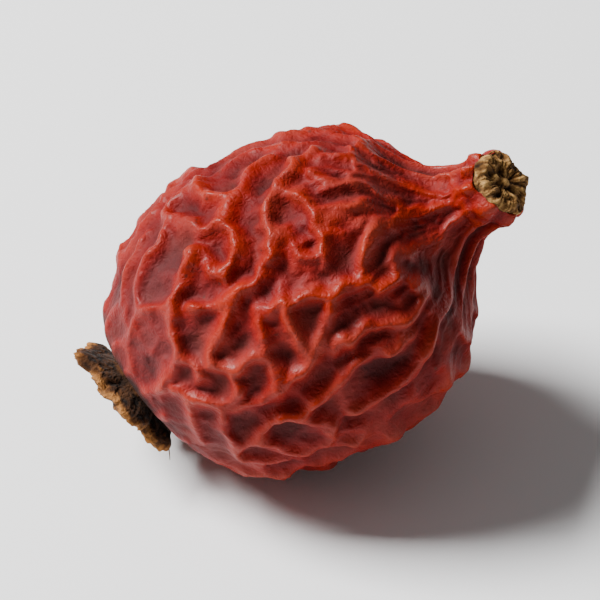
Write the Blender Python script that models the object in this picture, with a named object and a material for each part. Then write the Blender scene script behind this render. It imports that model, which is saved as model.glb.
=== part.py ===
"""A dried rose hip, lying on its side on a level surface.

The fruit is one shrunken body, blunt at the calyx end and drawn out to a short neck at
the stalk end. Its skin has sunk into a raised net of folds. A torn calyx plate closes the
low end, with a tuft of dried styles in its middle, and a broken stub of stalk closes the
neck. The calyx end points to -X and the neck to +X, tipped up.

Every piece is first turned about the fruit's own axis, in millimetres, and its places
along the axis are distances from the middle of the calyx plate. A formula then sinks the
skin, bends the neck and lays the fruit down.
"""

import math

import bmesh
import bpy
import numpy as np

MM = 0.001

# Driving dimensions of the fruit, in millimetres and degrees
BODY_LENGTH = 17.8
CALYX_END = 1.1
NECK_END = 17.15
BODY_RADIUS = 6.75
CALYX_RADIUS = 2.4
TUFT_RADIUS = 0.46
STUB_RADIUS = 1.2
JOINT_GAP = 0.3

# How it lies: the neck end is tipped up, and the lowest skin is pressed flat
AXIS_PITCH = 30.0
REST_DEPTH = 0.24
REST_FADE = (1.7, 2.8)
REST_HEIGHT = (1.6, 2.4)
REST_LEVEL = 0.04

# The fruit's outline between its ends, as shares of its length and of its largest radius
OUTLINE = (
    (CALYX_END / BODY_LENGTH, 0.37), (0.068, 0.44), (0.083, 0.54), (0.107, 0.635), (0.157, 0.765),
    (0.22, 0.88), (0.287, 0.95), (0.382, 1.0), (0.483, 1.0), (0.562, 0.97), (0.652, 0.895),
    (0.715, 0.795), (0.755, 0.67), (0.783, 0.53), (0.81, 0.41), (0.85, 0.305), (0.895, 0.248),
    (0.925, 0.23), (0.945, 0.237), (NECK_END / BODY_LENGTH, 0.245),
)

# The sockets in the body's ends, and the lip round the one in the neck, as steps from its edge
SOCKET_DEPTH = 0.55
CALYX_SOCKET = 1.72
NECK_SOCKET = 1.15
NECK_LIP = ((0.12, 0.24), (0.10, 0.12), (-0.05, 0.02))

# The calyx plate from the plug in its socket over the rim, the ring and into the pit: distance
# out from the back of the plate, and share of the plate's radius
PLUG_LENGTH = 0.5
PLUG_SHARE = (CALYX_SOCKET - JOINT_GAP) / CALYX_RADIUS
PIT_FLOOR = 0.3
CALYX_PROFILE = (
    (-PLUG_LENGTH, 0.0), (-PLUG_LENGTH, PLUG_SHARE - 0.04), (0.0, PLUG_SHARE), (0.06, 0.68),
    (0.16, 0.80), (0.22, 0.92), (0.34, 1.0), (0.52, 1.02), (0.70, 0.97), (0.78, 0.87),
    (0.72, 0.77), (0.62, 0.68), (0.60, 0.60), (0.74, 0.52), (0.84, 0.45), (0.78, 0.39),
    (PIT_FLOOR, 0.35), (PIT_FLOOR, 0.18), (PIT_FLOOR, 0.0),
)

# Waves round the plate's torn rim and the knobs on its ring, as (number, phase, height): the
# lobes are shares of the radius, the curls and the knobs are in millimetres
CALYX_LOBES = ((2, 1.5, 0.03), (5, 0.6, 0.07), (8, 2.0, 0.035), (13, 1.1, 0.03))
CALYX_CURLS = ((2, 0.9, 0.06), (5, 2.2, 0.07), (9, 1.0, 0.04))
RING_KNOBS = ((9, 0.0, 0.1),)

# The tuft of styles: distance out from its foot, and share of its radius
TUFT_CLEARANCE = 0.2
TUFT_PROFILE = (
    (0.0, 0.0), (0.0, 0.8), (0.15, 0.95), (0.32, 1.0), (0.48, 0.84), (0.58, 0.45), (0.6, 0.0),
)
TUFT_LOBES = ((6, 1.0, 0.1),)
TUFT_TIPS = ((5, 0.0, 0.1),)

# The stub of the stalk: distance out from the end of the neck, and share of its radius
STUB_PROFILE = (
    (JOINT_GAP - SOCKET_DEPTH, 0.0), (JOINT_GAP - SOCKET_DEPTH, 0.64), (0.2, 0.68), (0.4, 0.74),
    (0.42, 0.86), (0.46, 0.96), (0.54, 1.0), (0.64, 0.98), (0.74, 0.90), (0.80, 0.76),
    (0.80, 0.56), (0.74, 0.36), (0.78, 0.17), (0.80, 0.0),
)
STUB_BREAK = (0.5, 0.78)
STUB_LOBES = ((2, 0.8, 0.04), (5, 0.0, 0.05))
STUB_SPLINTERS = ((3, 0.4, 0.06), (5, 1.0, 0.07))

# Uneven growth: angles go round the axis from the top of the fruit towards its near side
CALYX_TILT = 12.0
CALYX_TILT_TOWARDS = -40.0
CALYX_TILT_FADE = 2.5
NECK_BEND = 30.0
NECK_BEND_TOWARDS = 50.0
NECK_BEND_FROM = 12.8
FULL_SIDE = 125.0
FULL_SHARE = 0.03
FULL_BETWEEN = (6.0, 10.0, 12.6, 14.2)
DENT_DEPTH = 0.12
DENT_ORDERS = ((2, 0.5), (3, 0.8), (3, 1.7), (4, 1.2), (5, 2.1))
DENT_BETWEEN = (1.0, 4.0, 12.0, 14.5)

# The folds of the skin
FOLD_SPACING = 1.6
PLEAT_SPACING = 0.95
FOLD_DEPTH = 0.8
CELL_SPACING = 1.95
CREST_WIDTH = 0.34
CREST_TIP = 0.08
SMALL_CELL_SPACING = 1.15
SMALL_CREST_WIDTH = 0.24
SMALL_CREST_HEIGHT = 0.36
CREST_SHARE = 0.74
FOLD_SHARES = (
    (CALYX_END, 0.0), (1.7, 0.75), (3.0, 0.85), (5.5, 1.0), (12.5, 1.0), (15.0, 0.65),
    (16.2, 0.6), (16.7, 0.35), (NECK_END, 0.12),
)
SKIN_ROWS = 132
SKIN_COLUMNS = 264
SKIN_SEED = 5

# The large folds of the near side, each as its height, from 0 to 1, and its points, which are
# given as angle in degrees and distance from the calyx
MAIN_FOLDS = (
    (1.0, ((-5, 11.2), (3, 10.8), (20, 9.4), (32, 9.2), (34, 8.7), (38, 8.4), (39, 7.4))),
    (1.0, ((39, 7.4), (52, 5.3), (56, 5.2), (60, 5.4))),
    (0.9, ((60, 5.4), (61, 5.9), (60, 7.3))),
    (0.9, ((60, 5.4), (67, 5.5), (70, 5.3), (72, 4.3), (59, 3.1))),
    (1.0, ((48, 7.7), (51, 9.7), (54, 9.9), (55, 10.3), (54, 11.0))),
    (1.0, ((48, 7.7), (75, 6.8))),
    (0.85, ((73, 8.4), (75, 7.6), (77, 6.1), (77, 5.1))),
    (0.9, ((51, 8.8), (61, 8.5), (71, 8.6))),
    (0.95, ((56, 10.5), (60, 10.2), (73, 8.4))),
    (1.0, ((83, 9.1), (87, 7.8), (89, 6.9), (86, 6.2))),
    (0.9, ((83, 9.1), (81, 10.5), (86, 11.3), (86, 12.0))),
    (0.95, ((73, 9.5), (72, 10.6), (77, 11.6), (79, 12.2), (81, 13.3), (75, 13.3), (69, 13.1))),
    (1.0, ((40, 13.3), (44, 12.5), (57, 11.7), (54, 11.0))),
    (0.9, ((40, 13.3), (33, 14.8), (34, 15.4), (46, 16.4))),
    (0.85, ((66, 14.6), (55, 13.2), (63, 12.8), (63, 12.3), (60, 12.0), (57, 11.7))),
    (0.6, ((62, 12.2), (79, 12.3))),
    (0.8, ((106, 13.9), (94, 13.1), (98, 11.9))),
    (0.85, ((98, 11.9), (100, 11.5), (99, 10.0), (99, 9.0), (97, 8.6))),
    (0.5, ((97, 8.6), (90, 8.7), (83, 9.1))),
    (0.7, ((111, 10.7), (112, 10.0), (112, 9.2), (111, 8.6), (108, 8.0), (108, 7.5))),
    (0.85, ((89, 6.4), (97, 7.4), (103, 7.3), (108, 6.9), (109, 6.3), (106, 5.5), (100, 5.0), (93, 4.7))),
    (0.8, ((86, 6.2), (86, 5.7), (93, 4.7), (96, 3.6))),
    (1.0, ((16, 6.2), (20, 6.1), (32, 4.5), (48, 3.9))),
    (0.9, ((48, 3.9), (54, 4.3), (59, 4.4))),
    (0.9, ((48, 3.9), (58, 2.1))),
    (0.8, ((26, 2.2), (21, 3.0), (22, 3.5), (29, 4.7))),
    (0.75, ((-3, 6.1), (-2, 5.6), (4, 4.8), (4, 4.2), (7, 3.8), (21, 3.0))),
    (0.6, ((-13, 4.6), (-7, 3.9), (-3, 2.9), (17, 2.3), (22, 2.0))),
    (0.9, ((-9, 5.7), (9, 7.0), (13, 7.9))),
    (0.8, ((-17, 7.2), (-6, 7.4), (0, 7.8), (2, 8.4), (1, 8.9), (-8, 9.7), (-15, 10.6))),
    (0.7, ((-6, 7.4), (-12, 6.9), (-13, 6.4), (-13, 5.9), (-9, 5.7))),
    (0.8, ((2, 8.7), (13, 7.9))),
    (0.95, ((13, 7.9), (18, 8.2), (24, 8.2), (27, 7.9), (31, 7.1), (29, 6.8), (16, 6.5), (16, 6.2))),
    (0.45, ((16, 6.5), (15, 7.4), (18, 8.2))),
    (0.9, ((35, 5.3), (39, 6.3), (39, 7.4))),
    (0.8, ((64, 3.3), (91, 2.7))),
    (0.9, ((72, 4.3), (96, 3.6), (104, 3.8), (115, 5.1))),
    (0.7, ((-5, 11.2), (-12, 11.9), (-23, 12.0))),
    (0.8, ((4, 11.7), (15, 12.2), (15, 13.2), (22, 13.7), (24, 14.0), (30, 14.1))),
    (0.7, ((-22, 13.0), (1, 13.2), (15, 12.7))),
    (1.0, ((-45, 13.5), (-28, 14.5), (-22, 15.0), (-16, 16.2), (-24, 16.8))),
    (0.7, ((5, 13.5), (2, 14.2), (3, 14.6), (18, 15.2), (26, 16.5))),
    (0.8, ((23, 11.1), (26, 12.0), (25, 12.7), (27, 13.0), (31, 13.2))),
    (0.9, ((9, 10.2), (14, 10.9), (18, 11.1), (37, 11.1), (44, 10.8))),
    (0.8, ((26, 9.3), (31, 10.1), (36, 10.2), (39, 10.5), (41, 11.0))),
    (0.55, ((36, 10.2), (38, 9.9), (41, 9.9), (42, 10.2))),
    (0.6, ((28, 11.1), (34, 12.5), (37, 12.6))),
    (0.55, ((32, 11.1), (33, 11.5), (36, 11.8), (39, 11.7))),
    (0.6, ((-4, 12.1), (-7, 12.6), (-4, 12.9))),
    (0.6, ((2, 11.8), (3, 12.3), (8, 13.0))),
    (0.6, ((-21, 13.4), (-19, 13.7), (-14, 13.8), (-17, 14.1))),
    (0.5, ((46, 8.7), (47, 10.0))),
    (0.9, ((-30, 16.6), (-8, 16.4), (14, 16.3), (26, 16.5), (46, 16.4), (70, 16.5), (96, 16.7))),
    (0.7, ((56, 16.5), (64, 15.9), (70, 15.3), (73, 14.7), (70, 14.2))),
    (0.6, ((90, 16.6), (98, 15.8), (103, 15.0), (106, 13.9))),
)
MAIN_ANGLES = (-24.0, 116.0)
MAIN_LENGTHS = (1.7, 17.9)

# Mesh fineness: rows and columns of the fruit, and steps round the small pieces
BODY_ROWS = 120
BODY_COLUMNS = 208
BODY_TRIANGLES = 10800
CALYX_STEPS = 64
TUFT_STEPS = 18
STUB_STEPS = 30


def rise(value, low, high):
    """0 up to low, 1 from high on, with a smooth rise between them."""
    share = np.clip((np.asarray(value, float) - low) / (high - low), 0.0, 1.0)
    return share * share * (3.0 - 2.0 * share)


def curve_through(points, steps):
    """A smooth curve through the points, with this many steps from each to the next."""
    points = np.asarray(points, float)
    points = np.vstack([2 * points[0] - points[1], points, 2 * points[-1] - points[-2]])
    u = np.linspace(0.0, 1.0, steps, endpoint=False)[:, None]
    spans = [
        b + 0.5 * u * (c - a + u * (2 * a - 5 * b + 4 * c - d + u * (3 * b - a - 3 * c + d)))
        for a, b, c, d in zip(points, points[1:], points[2:], points[3:])
    ]
    return np.vstack(spans + [points[-2:-1]])


def meridian(rows):
    """Distance from the calyx, radius and length along the skin, at equal steps of that length."""
    dense = curve_through(np.array(OUTLINE) * (BODY_LENGTH, BODY_RADIUS), 40)
    length = np.concatenate([[0.0], np.cumsum(np.hypot(*np.diff(dense, axis=0).T))])
    skin = np.linspace(0.0, length[-1], rows)
    return np.interp(skin, length, dense[:, 0]), np.interp(skin, length, dense[:, 1]), skin


def turn_between(angle, other):
    """The signed turn from one angle to another, in radians from -pi to pi."""
    return (angle - other + math.pi) % (2 * math.pi) - math.pi


def ripple(points, length, random):
    """A smooth noise of about -1 to 1 at points in space, whose bumps are about this long."""
    total = 0.0
    for _ in range(7):
        way = random.standard_normal(3)
        way *= 2 * math.pi / (length * random.uniform(0.7, 1.4) * np.linalg.norm(way))
        total = total + np.sin(points @ way + random.uniform(0, 2 * math.pi))
    return total / 3.0


def crest_shape(distance, width):
    """A fold's height at this distance from its crest line: steep sides up to a narrow, round top."""
    return np.exp((CREST_TIP - np.hypot(distance, CREST_TIP)) / width)


class Skin:
    """The folds of the skin, on a grid of rows from calyx to neck and columns round the axis.

    A skin that is too large for the flesh under it buckles into folds. Their crests follow
    MAIN_FOLDS on the near side and the borders of uneven cells elsewhere. Between them the
    skin grows folds of its own width out of a seeded noise, drawn out into pleats where the
    fruit narrows.
    """

    STEPS = 200
    PACE = 0.4
    GROWTH = 0.7
    HOLLOWS = -0.9
    GUIDE_PULL = 0.5
    PLEAT_PULL = 1.5
    WANDER = 0.3
    ZIGZAG = 0.13

    def __init__(self):
        self.along, self.radius, self.length = meridian(SKIN_ROWS)
        self.angle = np.arange(SKIN_COLUMNS) * 2 * math.pi / SKIN_COLUMNS
        self.belly = rise(self.radius / BODY_RADIUS, 0.25, 0.75)
        self.random = np.random.default_rng(SKIN_SEED)
        places = self.places()
        self.zigzag = [self.ZIGZAG * ripple(places, 1.1, self.random) for _ in range(2)]
        self.wander = [self.WANDER * ripple(places, 2.6, self.random) for _ in range(2)]
        self.guided = np.maximum(self.belly[:, None], self.near_side())
        self.crest = self.crest_lines()
        self.height = self.buckle()

    def places(self):
        """The grid's points in space on the smooth fruit, for noise that has no seam."""
        along = np.repeat(self.along[:, None], SKIN_COLUMNS, axis=1)
        across = np.outer(self.radius, np.cos(self.angle))
        return np.stack([along, across, np.outer(self.radius, np.sin(self.angle))], axis=2)

    def reach(self, angle, length):
        """Offsets on the skin, round and along, of the whole grid from one point."""
        across = self.radius[:, None] * turn_between(self.angle, angle)[None, :]
        return across, (self.length - length)[:, None]

    def main_crests(self):
        """The crests of the large folds of the near side, each as high as it is said to be."""
        crests = np.zeros((SKIN_ROWS, SKIN_COLUMNS))
        for height, fold in MAIN_FOLDS:
            nearest = np.full(crests.shape, 99.0)
            route = [(math.radians(a), np.interp(t, self.along, self.length)) for a, t in fold]
            for angle, length in curve_through(route, 10):
                across, down = self.reach(angle, length)
                far = np.hypot(across + self.zigzag[0], down + self.zigzag[1])
                nearest = np.minimum(nearest, far)
            crests = np.maximum(crests, height * crest_shape(nearest, CREST_WIDTH))
        return crests

    def from_cell_borders(self, spacing):
        """Distance on the skin from the nearest border of uneven cells that are this far apart."""
        first = np.full((SKIN_ROWS, SKIN_COLUMNS), 99.0)
        second = first.copy()
        warp = [near + far for near, far in zip(self.zigzag, self.wander)]
        for number, length in enumerate(np.arange(0.6, self.length[-1], 0.86 * spacing)):
            radius = np.interp(length, self.length, self.radius)
            count = max(5, round(2 * math.pi * radius / spacing))
            for step in range(count):
                jitter = self.random.uniform(-0.36, 0.36, 2)
                angle = 2 * math.pi * (step + 0.5 * (number % 2) + jitter[0]) / count
                lean, stretch = self.random.uniform(0, math.pi), self.random.uniform(1.0, 1.4)
                across, down = self.reach(angle, length + jitter[1] * spacing)
                across, down = across + warp[0], down + warp[1]
                far = np.hypot(
                    (across * math.cos(lean) + down * math.sin(lean)) / stretch,
                    (down * math.cos(lean) - across * math.sin(lean)) * stretch,
                )
                second = np.minimum(second, np.maximum(first, far))
                first = np.minimum(first, far)
        return 0.5 * (second - first)

    def near_side(self):
        """1 where MAIN_FOLDS were laid out, 0 elsewhere."""
        degrees = np.degrees(turn_between(self.angle, 0.0))
        low, high = MAIN_ANGLES
        round_it = rise(degrees, low, low + 10) * (1 - rise(degrees, high - 10, high))
        low, high = MAIN_LENGTHS
        along_it = rise(self.along, low, low + 0.8) * (1 - rise(self.along, high - 0.8, high))
        return along_it[:, None] * round_it[None, :]

    def crest_lines(self):
        """1 on the crests that guide the folds, falling to 0 a fold's width away."""
        near_side = self.near_side()
        places = self.places()
        main = self.main_crests()
        cells = crest_shape(self.from_cell_borders(CELL_SPACING), CREST_WIDTH)
        worn = np.clip(0.8 + 0.3 * ripple(places, 3.5, self.random), 0.3, 1.0)
        small = crest_shape(self.from_cell_borders(SMALL_CELL_SPACING), SMALL_CREST_WIDTH)
        low = SMALL_CREST_HEIGHT * np.clip(0.6 + 0.7 * ripple(places, 2.5, self.random), 0.0, 1.0)
        large = main * near_side + cells * (1 - near_side) * worn * self.belly[:, None]
        return 1 - (1 - large) * (1 - small * low)

    def bending(self):
        """Second derivative along the skin of a turned body, as a matrix over the rows."""
        step = self.length[1] - self.length[0]
        between = 0.5 * (self.radius[1:] + self.radius[:-1]) / step**2
        matrix = np.zeros((SKIN_ROWS, SKIN_ROWS))
        row = np.arange(SKIN_ROWS - 1)
        matrix[row, row + 1] = between / self.radius[:-1]
        matrix[row + 1, row] = between / self.radius[1:]
        return matrix - np.diag(matrix.sum(axis=1))

    def buckle(self):
        """Lets the noise grow into folds, about -1.8 in a hollow to 1.1 on a crest."""
        spacing = PLEAT_SPACING + (FOLD_SPACING - PLEAT_SPACING) * self.belly
        scale = ((spacing / (2 * math.pi)) ** 2)[:, None]
        bending, unit = self.bending(), np.eye(SKIN_ROWS)
        pleats = (self.PLEAT_PULL * (1 - self.belly))[:, None] * scale * bending
        solvers = []
        for waves in range(SKIN_COLUMNS // 2 + 1):
            spread = unit + scale * (bending - np.diag((waves / self.radius) ** 2))
            growth = self.GROWTH * unit - spread @ spread + pleats
            solvers.append(np.linalg.inv(unit - self.PACE * growth))
        solvers = np.array(solvers)
        pull = self.GUIDE_PULL * (2 * self.crest - 0.8) * self.guided
        height = 0.3 * self.random.standard_normal((SKIN_ROWS, SKIN_COLUMNS))
        for _ in range(self.STEPS):
            change = self.HOLLOWS * height**2 - height**3 + pull
            waves = np.fft.rfft(height + self.PACE * change, axis=1).T[:, :, None]
            height = np.fft.irfft((solvers @ waves)[:, :, 0].T, SKIN_COLUMNS, axis=1)
        return height

    def relief(self):
        """The folds on the grid, from 0 on the floor of a hollow to 1 on a crest."""
        grown = 0.5 * (1 + np.tanh((self.height - 0.35) / 0.5))
        sharp = CREST_SHARE * self.guided
        return grown * (1 - sharp) + self.crest * sharp

    def relief_at(self, along, angle):
        """The folds at points given by distance from the calyx and angle."""
        relief = self.relief()
        row = np.interp(along, self.along, np.arange(SKIN_ROWS))
        column = (angle / (2 * math.pi) % 1.0) * SKIN_COLUMNS
        low = np.minimum(row.astype(int), SKIN_ROWS - 2)
        left = column.astype(int) % SKIN_COLUMNS
        right = (left + 1) % SKIN_COLUMNS
        down, across = row - low, column - np.floor(column)
        upper = relief[low, left] * (1 - across) + relief[low, right] * across
        lower = relief[low + 1, left] * (1 - across) + relief[low + 1, right] * across
        return upper * (1 - down) + lower * down


def within(value, between):
    """1 between the two middle values of four, falling to 0 at the outer two."""
    return rise(value, *between[:2]) * (1 - rise(value, *between[2:]))


def waves_round(angle, waves):
    """The sum of waves round the axis, each given as (number, phase, height)."""
    return sum(height * np.cos(number * angle + phase) for number, phase, height in waves)


def uneven_share(along, angle):
    """The share by which uneven growth swells or shrinks the radius."""
    full = FULL_SHARE * np.cos(angle - math.radians(FULL_SIDE))
    share = full * within(along, FULL_BETWEEN)
    belly = within(along, DENT_BETWEEN)
    for order, (waves, phase) in enumerate(DENT_ORDERS):
        swell = np.cos(waves * angle + phase + 2.3 * order)
        swell = swell * np.cos((order + 1) * math.pi * along / BODY_LENGTH + phase)
        share = share + belly * DENT_DEPTH / BODY_RADIUS / math.sqrt(waves) * swell
    return share


def fold_drop(skin, along, angle):
    """How far the skin lies below the crest of its folds, in millimetres."""
    share = np.interp(along, *zip(*FOLD_SHARES))
    return FOLD_DEPTH * share * (1 - skin.relief_at(along, angle))


def axis_frame():
    """The unit vectors along the fruit's axis, up across it and to its near side."""
    pitch = math.radians(AXIS_PITCH)
    along = np.array([math.cos(pitch), 0.0, math.sin(pitch)])
    up = np.array([-math.sin(pitch), 0.0, math.cos(pitch)])
    return along, up, np.array([0.0, -1.0, 0.0])


def laid_down(along, angle, radius):
    """Where a turned point comes to lie once the calyx leans, the neck bends and the fruit tips."""
    lean = math.tan(math.radians(CALYX_TILT)) * (1 - rise(along, 0.0, CALYX_TILT_FADE))
    along = along - lean * radius * np.cos(angle - math.radians(CALYX_TILT_TOWARDS))
    table = np.linspace(NECK_BEND_FROM, BODY_LENGTH + 3.0, 200)
    bend = math.radians(NECK_BEND) * rise(table, NECK_BEND_FROM, NECK_END)
    step = table[1] - table[0]
    forward = NECK_BEND_FROM + np.concatenate([[0.0], np.cumsum(np.cos(bend[1:]) * step)])
    aside = np.concatenate([[0.0], np.cumsum(np.sin(bend[1:]) * step)])
    here = np.interp(along, table, bend)
    centre = np.where(along > NECK_BEND_FROM, np.interp(along, table, forward), along)
    towards = radius * np.cos(angle - math.radians(NECK_BEND_TOWARDS))
    across = radius * np.sin(angle - math.radians(NECK_BEND_TOWARDS))
    axis, up, near = axis_frame()
    turn = math.radians(NECK_BEND_TOWARDS)
    bend_way = math.cos(turn) * up + math.sin(turn) * near
    other_way = -math.sin(turn) * up + math.cos(turn) * near
    return (
        np.outer(centre - towards * np.sin(here), axis)
        + np.outer(np.interp(along, table, aside) + towards * np.cos(here), bend_way)
        + np.outer(across, other_way)
    )


def turned(profile, steps):
    """A closed mesh turned about X from a profile of (distance along X, radius) points."""
    shape = bmesh.new()
    ring = [shape.verts.new((x, 0.0, radius)) for x, radius in profile]
    edges = [shape.edges.new(pair) for pair in zip(ring, ring[1:])]
    bmesh.ops.spin(
        shape,
        geom=ring + edges,
        cent=(0.0, 0.0, 0.0),
        axis=(1.0, 0.0, 0.0),
        angle=2 * math.pi,
        steps=steps,
        use_merge=True,
    )
    bmesh.ops.remove_doubles(shape, verts=shape.verts, dist=1e-4)
    bmesh.ops.recalc_face_normals(shape, faces=shape.faces)
    return shape


def coordinates(shape):
    """Each vertex of a turned mesh as distance along the axis, angle and radius."""
    points = np.array([vertex.co[:] for vertex in shape.verts])
    return points[:, 0], np.arctan2(-points[:, 1], points[:, 2]), np.hypot(*points[:, 1:].T)


def finished(name, shape, points, material):
    """An object with the turned mesh's faces on the given points, still in millimetres."""
    for vertex, point in zip(shape.verts, points):
        vertex.co = point
    bmesh.ops.recalc_face_normals(shape, faces=shape.faces)
    bmesh.ops.triangulate(shape, faces=shape.faces)
    mesh = bpy.data.meshes.new(name)
    shape.to_mesh(mesh)
    shape.free()
    mesh.materials.append(material)
    mesh.shade_smooth()
    obj = bpy.data.objects.new(name, mesh)
    bpy.context.scene.collection.objects.link(obj)
    return obj


def plain_material(name, colour, roughness):
    """A Principled BSDF with the piece's colour and roughness, and no metal."""
    material = bpy.data.materials.new(name)
    material.use_nodes = True
    surface = material.node_tree.nodes["Principled BSDF"]
    surface.inputs["Base Color"].default_value = (*colour, 1.0)
    surface.inputs["Roughness"].default_value = roughness
    surface.inputs["Metallic"].default_value = 0.0
    return material


def pressed_flat(points, floor):
    """The points with those under the resting plane moved up onto it."""
    points = points.copy()
    points[:, 2] = np.maximum(points[:, 2], floor)
    return points


def resting_plane():
    """Height of the plane that the fruit is pressed onto, and the middle of its flat spot."""
    along, radius, _ = meridian(400)
    angle = np.full(along.shape, math.pi)
    points = laid_down(along, angle, radius * (1 + uneven_share(along, angle)))
    lowest = points[points[:, 2].argmin()]
    return lowest[2] + REST_DEPTH, lowest


def with_fewer_triangles(obj, count):
    """Thins the object's mesh to this many triangles, most where the skin is plain."""
    fewer = obj.modifiers.new("fewer_triangles", "DECIMATE")
    fewer.ratio = count / len(obj.data.polygons)
    bpy.context.view_layer.objects.active = obj
    bpy.ops.object.modifier_apply(modifier=fewer.name)


def hip_profile():
    """The body's profile from the floor of one socket over the skin to the floor of the other."""
    along, radius, _ = meridian(BODY_ROWS)
    floor_in, floor_out = CALYX_END + SOCKET_DEPTH, NECK_END - SOCKET_DEPTH
    calyx_end = [(floor_in, 0.0), (floor_in, CALYX_SOCKET), (CALYX_END, CALYX_SOCKET + 0.1)]
    lip = [(NECK_END + out, NECK_SOCKET + wide) for out, wide in NECK_LIP]
    return [*calyx_end, *zip(along, radius), *lip, (floor_out, NECK_SOCKET), (floor_out, 0.0)]


def make_hip(skin):
    """The fruit's body, with its skin sunk between the folds and a flat spot under its weight."""
    shape = turned(hip_profile(), BODY_COLUMNS)
    along, angle, radius = coordinates(shape)
    outer = radius * (1 + uneven_share(along, angle))
    floor, lowest = resting_plane()
    unsunk = laid_down(along, angle, outer)
    beside = rise(np.hypot(*(unsunk - lowest)[:, :2].T), *REST_FADE)
    open_skin = np.maximum(beside, rise(unsunk[:, 2] - floor, *REST_HEIGHT))
    socket = np.where(along < BODY_LENGTH / 2, CALYX_SOCKET, NECK_SOCKET)
    drop = fold_drop(skin, along, angle) * open_skin * rise(radius - socket, 0.1, 0.4)
    points = pressed_flat(laid_down(along, angle, outer - drop), floor)
    hip = finished("hip", shape, points, plain_material("hip", (0.38, 0.04, 0.02), 0.42))
    with_fewer_triangles(hip, BODY_TRIANGLES)
    for vertex in hip.data.vertices:
        if vertex.co.z < floor + REST_LEVEL:
            vertex.co.z = floor
    return hip


def make_calyx():
    """The torn plate at the calyx end, with worn lobes, a raised ring and a pit in its outer face."""
    back = CALYX_END - JOINT_GAP
    profile = [(back - out, share * CALYX_RADIUS) for out, share in CALYX_PROFILE]
    shape = turned(profile, CALYX_STEPS)
    along, angle, radius = coordinates(shape)
    rim = rise(radius, 0.5 * CALYX_RADIUS, CALYX_RADIUS)
    curl = sum(height for _, _, height in CALYX_CURLS) + waves_round(angle, CALYX_CURLS)
    ring = rise(radius, 0.3 * CALYX_RADIUS, 0.4 * CALYX_RADIUS) * (1 - rim)
    knobs = ring * rise(back - along, 0.45, 0.6) * waves_round(angle, RING_KNOBS)
    wide = radius * (1 + rim * waves_round(angle, CALYX_LOBES))
    points = laid_down(along - rim * curl + knobs, angle, wide)
    return finished("calyx", shape, points, plain_material("calyx", (0.09, 0.05, 0.03), 0.8))


def make_style_tuft():
    """The knob of dried styles that stands in the calyx plate's pit."""
    foot = CALYX_END - JOINT_GAP - PIT_FLOOR - TUFT_CLEARANCE
    profile = [(foot - out, share * TUFT_RADIUS) for out, share in TUFT_PROFILE]
    shape = turned(profile, TUFT_STEPS)
    along, angle, radius = coordinates(shape)
    tips = rise(foot - along, 0.0, 0.5)
    spiral = angle + 1.2 * radius / TUFT_RADIUS
    wide = radius * (1 + tips * waves_round(angle, TUFT_LOBES))
    points = laid_down(along - tips * waves_round(spiral, TUFT_TIPS), angle, wide)
    material = plain_material("style_tuft", (0.52, 0.38, 0.20), 0.9)
    return finished("style_tuft", shape, points, material)


def make_stalk_stub():
    """The broken end of the stalk, a low fibrous dome on the neck with its plug in the socket."""
    profile = [(NECK_END + out, share * STUB_RADIUS) for out, share in STUB_PROFILE]
    shape = turned(profile, STUB_STEPS)
    along, angle, radius = coordinates(shape)
    broken = rise(along - NECK_END, *STUB_BREAK)
    splinters = rise(radius, 0.2, 0.9) * waves_round(angle, STUB_SPLINTERS)
    wide = radius * (1 + broken * waves_round(angle, STUB_LOBES))
    points = laid_down(along + broken * splinters, angle, wide)
    material = plain_material("stalk_stub", (0.24, 0.13, 0.05), 0.85)
    return finished("stalk_stub", shape, points, material)


def settle(objects):
    """Moves the pieces so that the middle of their base is the origin, and turns them to metres."""
    corners = np.array([vertex.co[:] for obj in objects for vertex in obj.data.vertices])
    low, high = corners.min(axis=0), corners.max(axis=0)
    middle = np.array([(low[0] + high[0]) / 2, (low[1] + high[1]) / 2, low[2]])
    for obj in objects:
        for vertex in obj.data.vertices:
            vertex.co = (np.array(vertex.co[:]) - middle) * MM
        obj.data.update()


def main():
    """Clears the scene and makes the four pieces."""
    for obj in list(bpy.data.objects):
        bpy.data.objects.remove(obj, do_unlink=True)
    settle([make_hip(Skin()), make_calyx(), make_style_tuft(), make_stalk_stub()])


main()
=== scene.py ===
"""The look of a dried rose hip that lies on its side on a pale floor.

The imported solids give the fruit's place and size. Each of them is replaced by a finer piece
of the same form: the folded skin, the torn calyx plate, the tuft of styles and the stub of
the stalk. Shapes are made in millimetres about the fruit's own axis, then laid down.
"""

from __future__ import annotations

import logging
import math
from dataclasses import dataclass
from enum import Enum
from typing import Sequence

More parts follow.
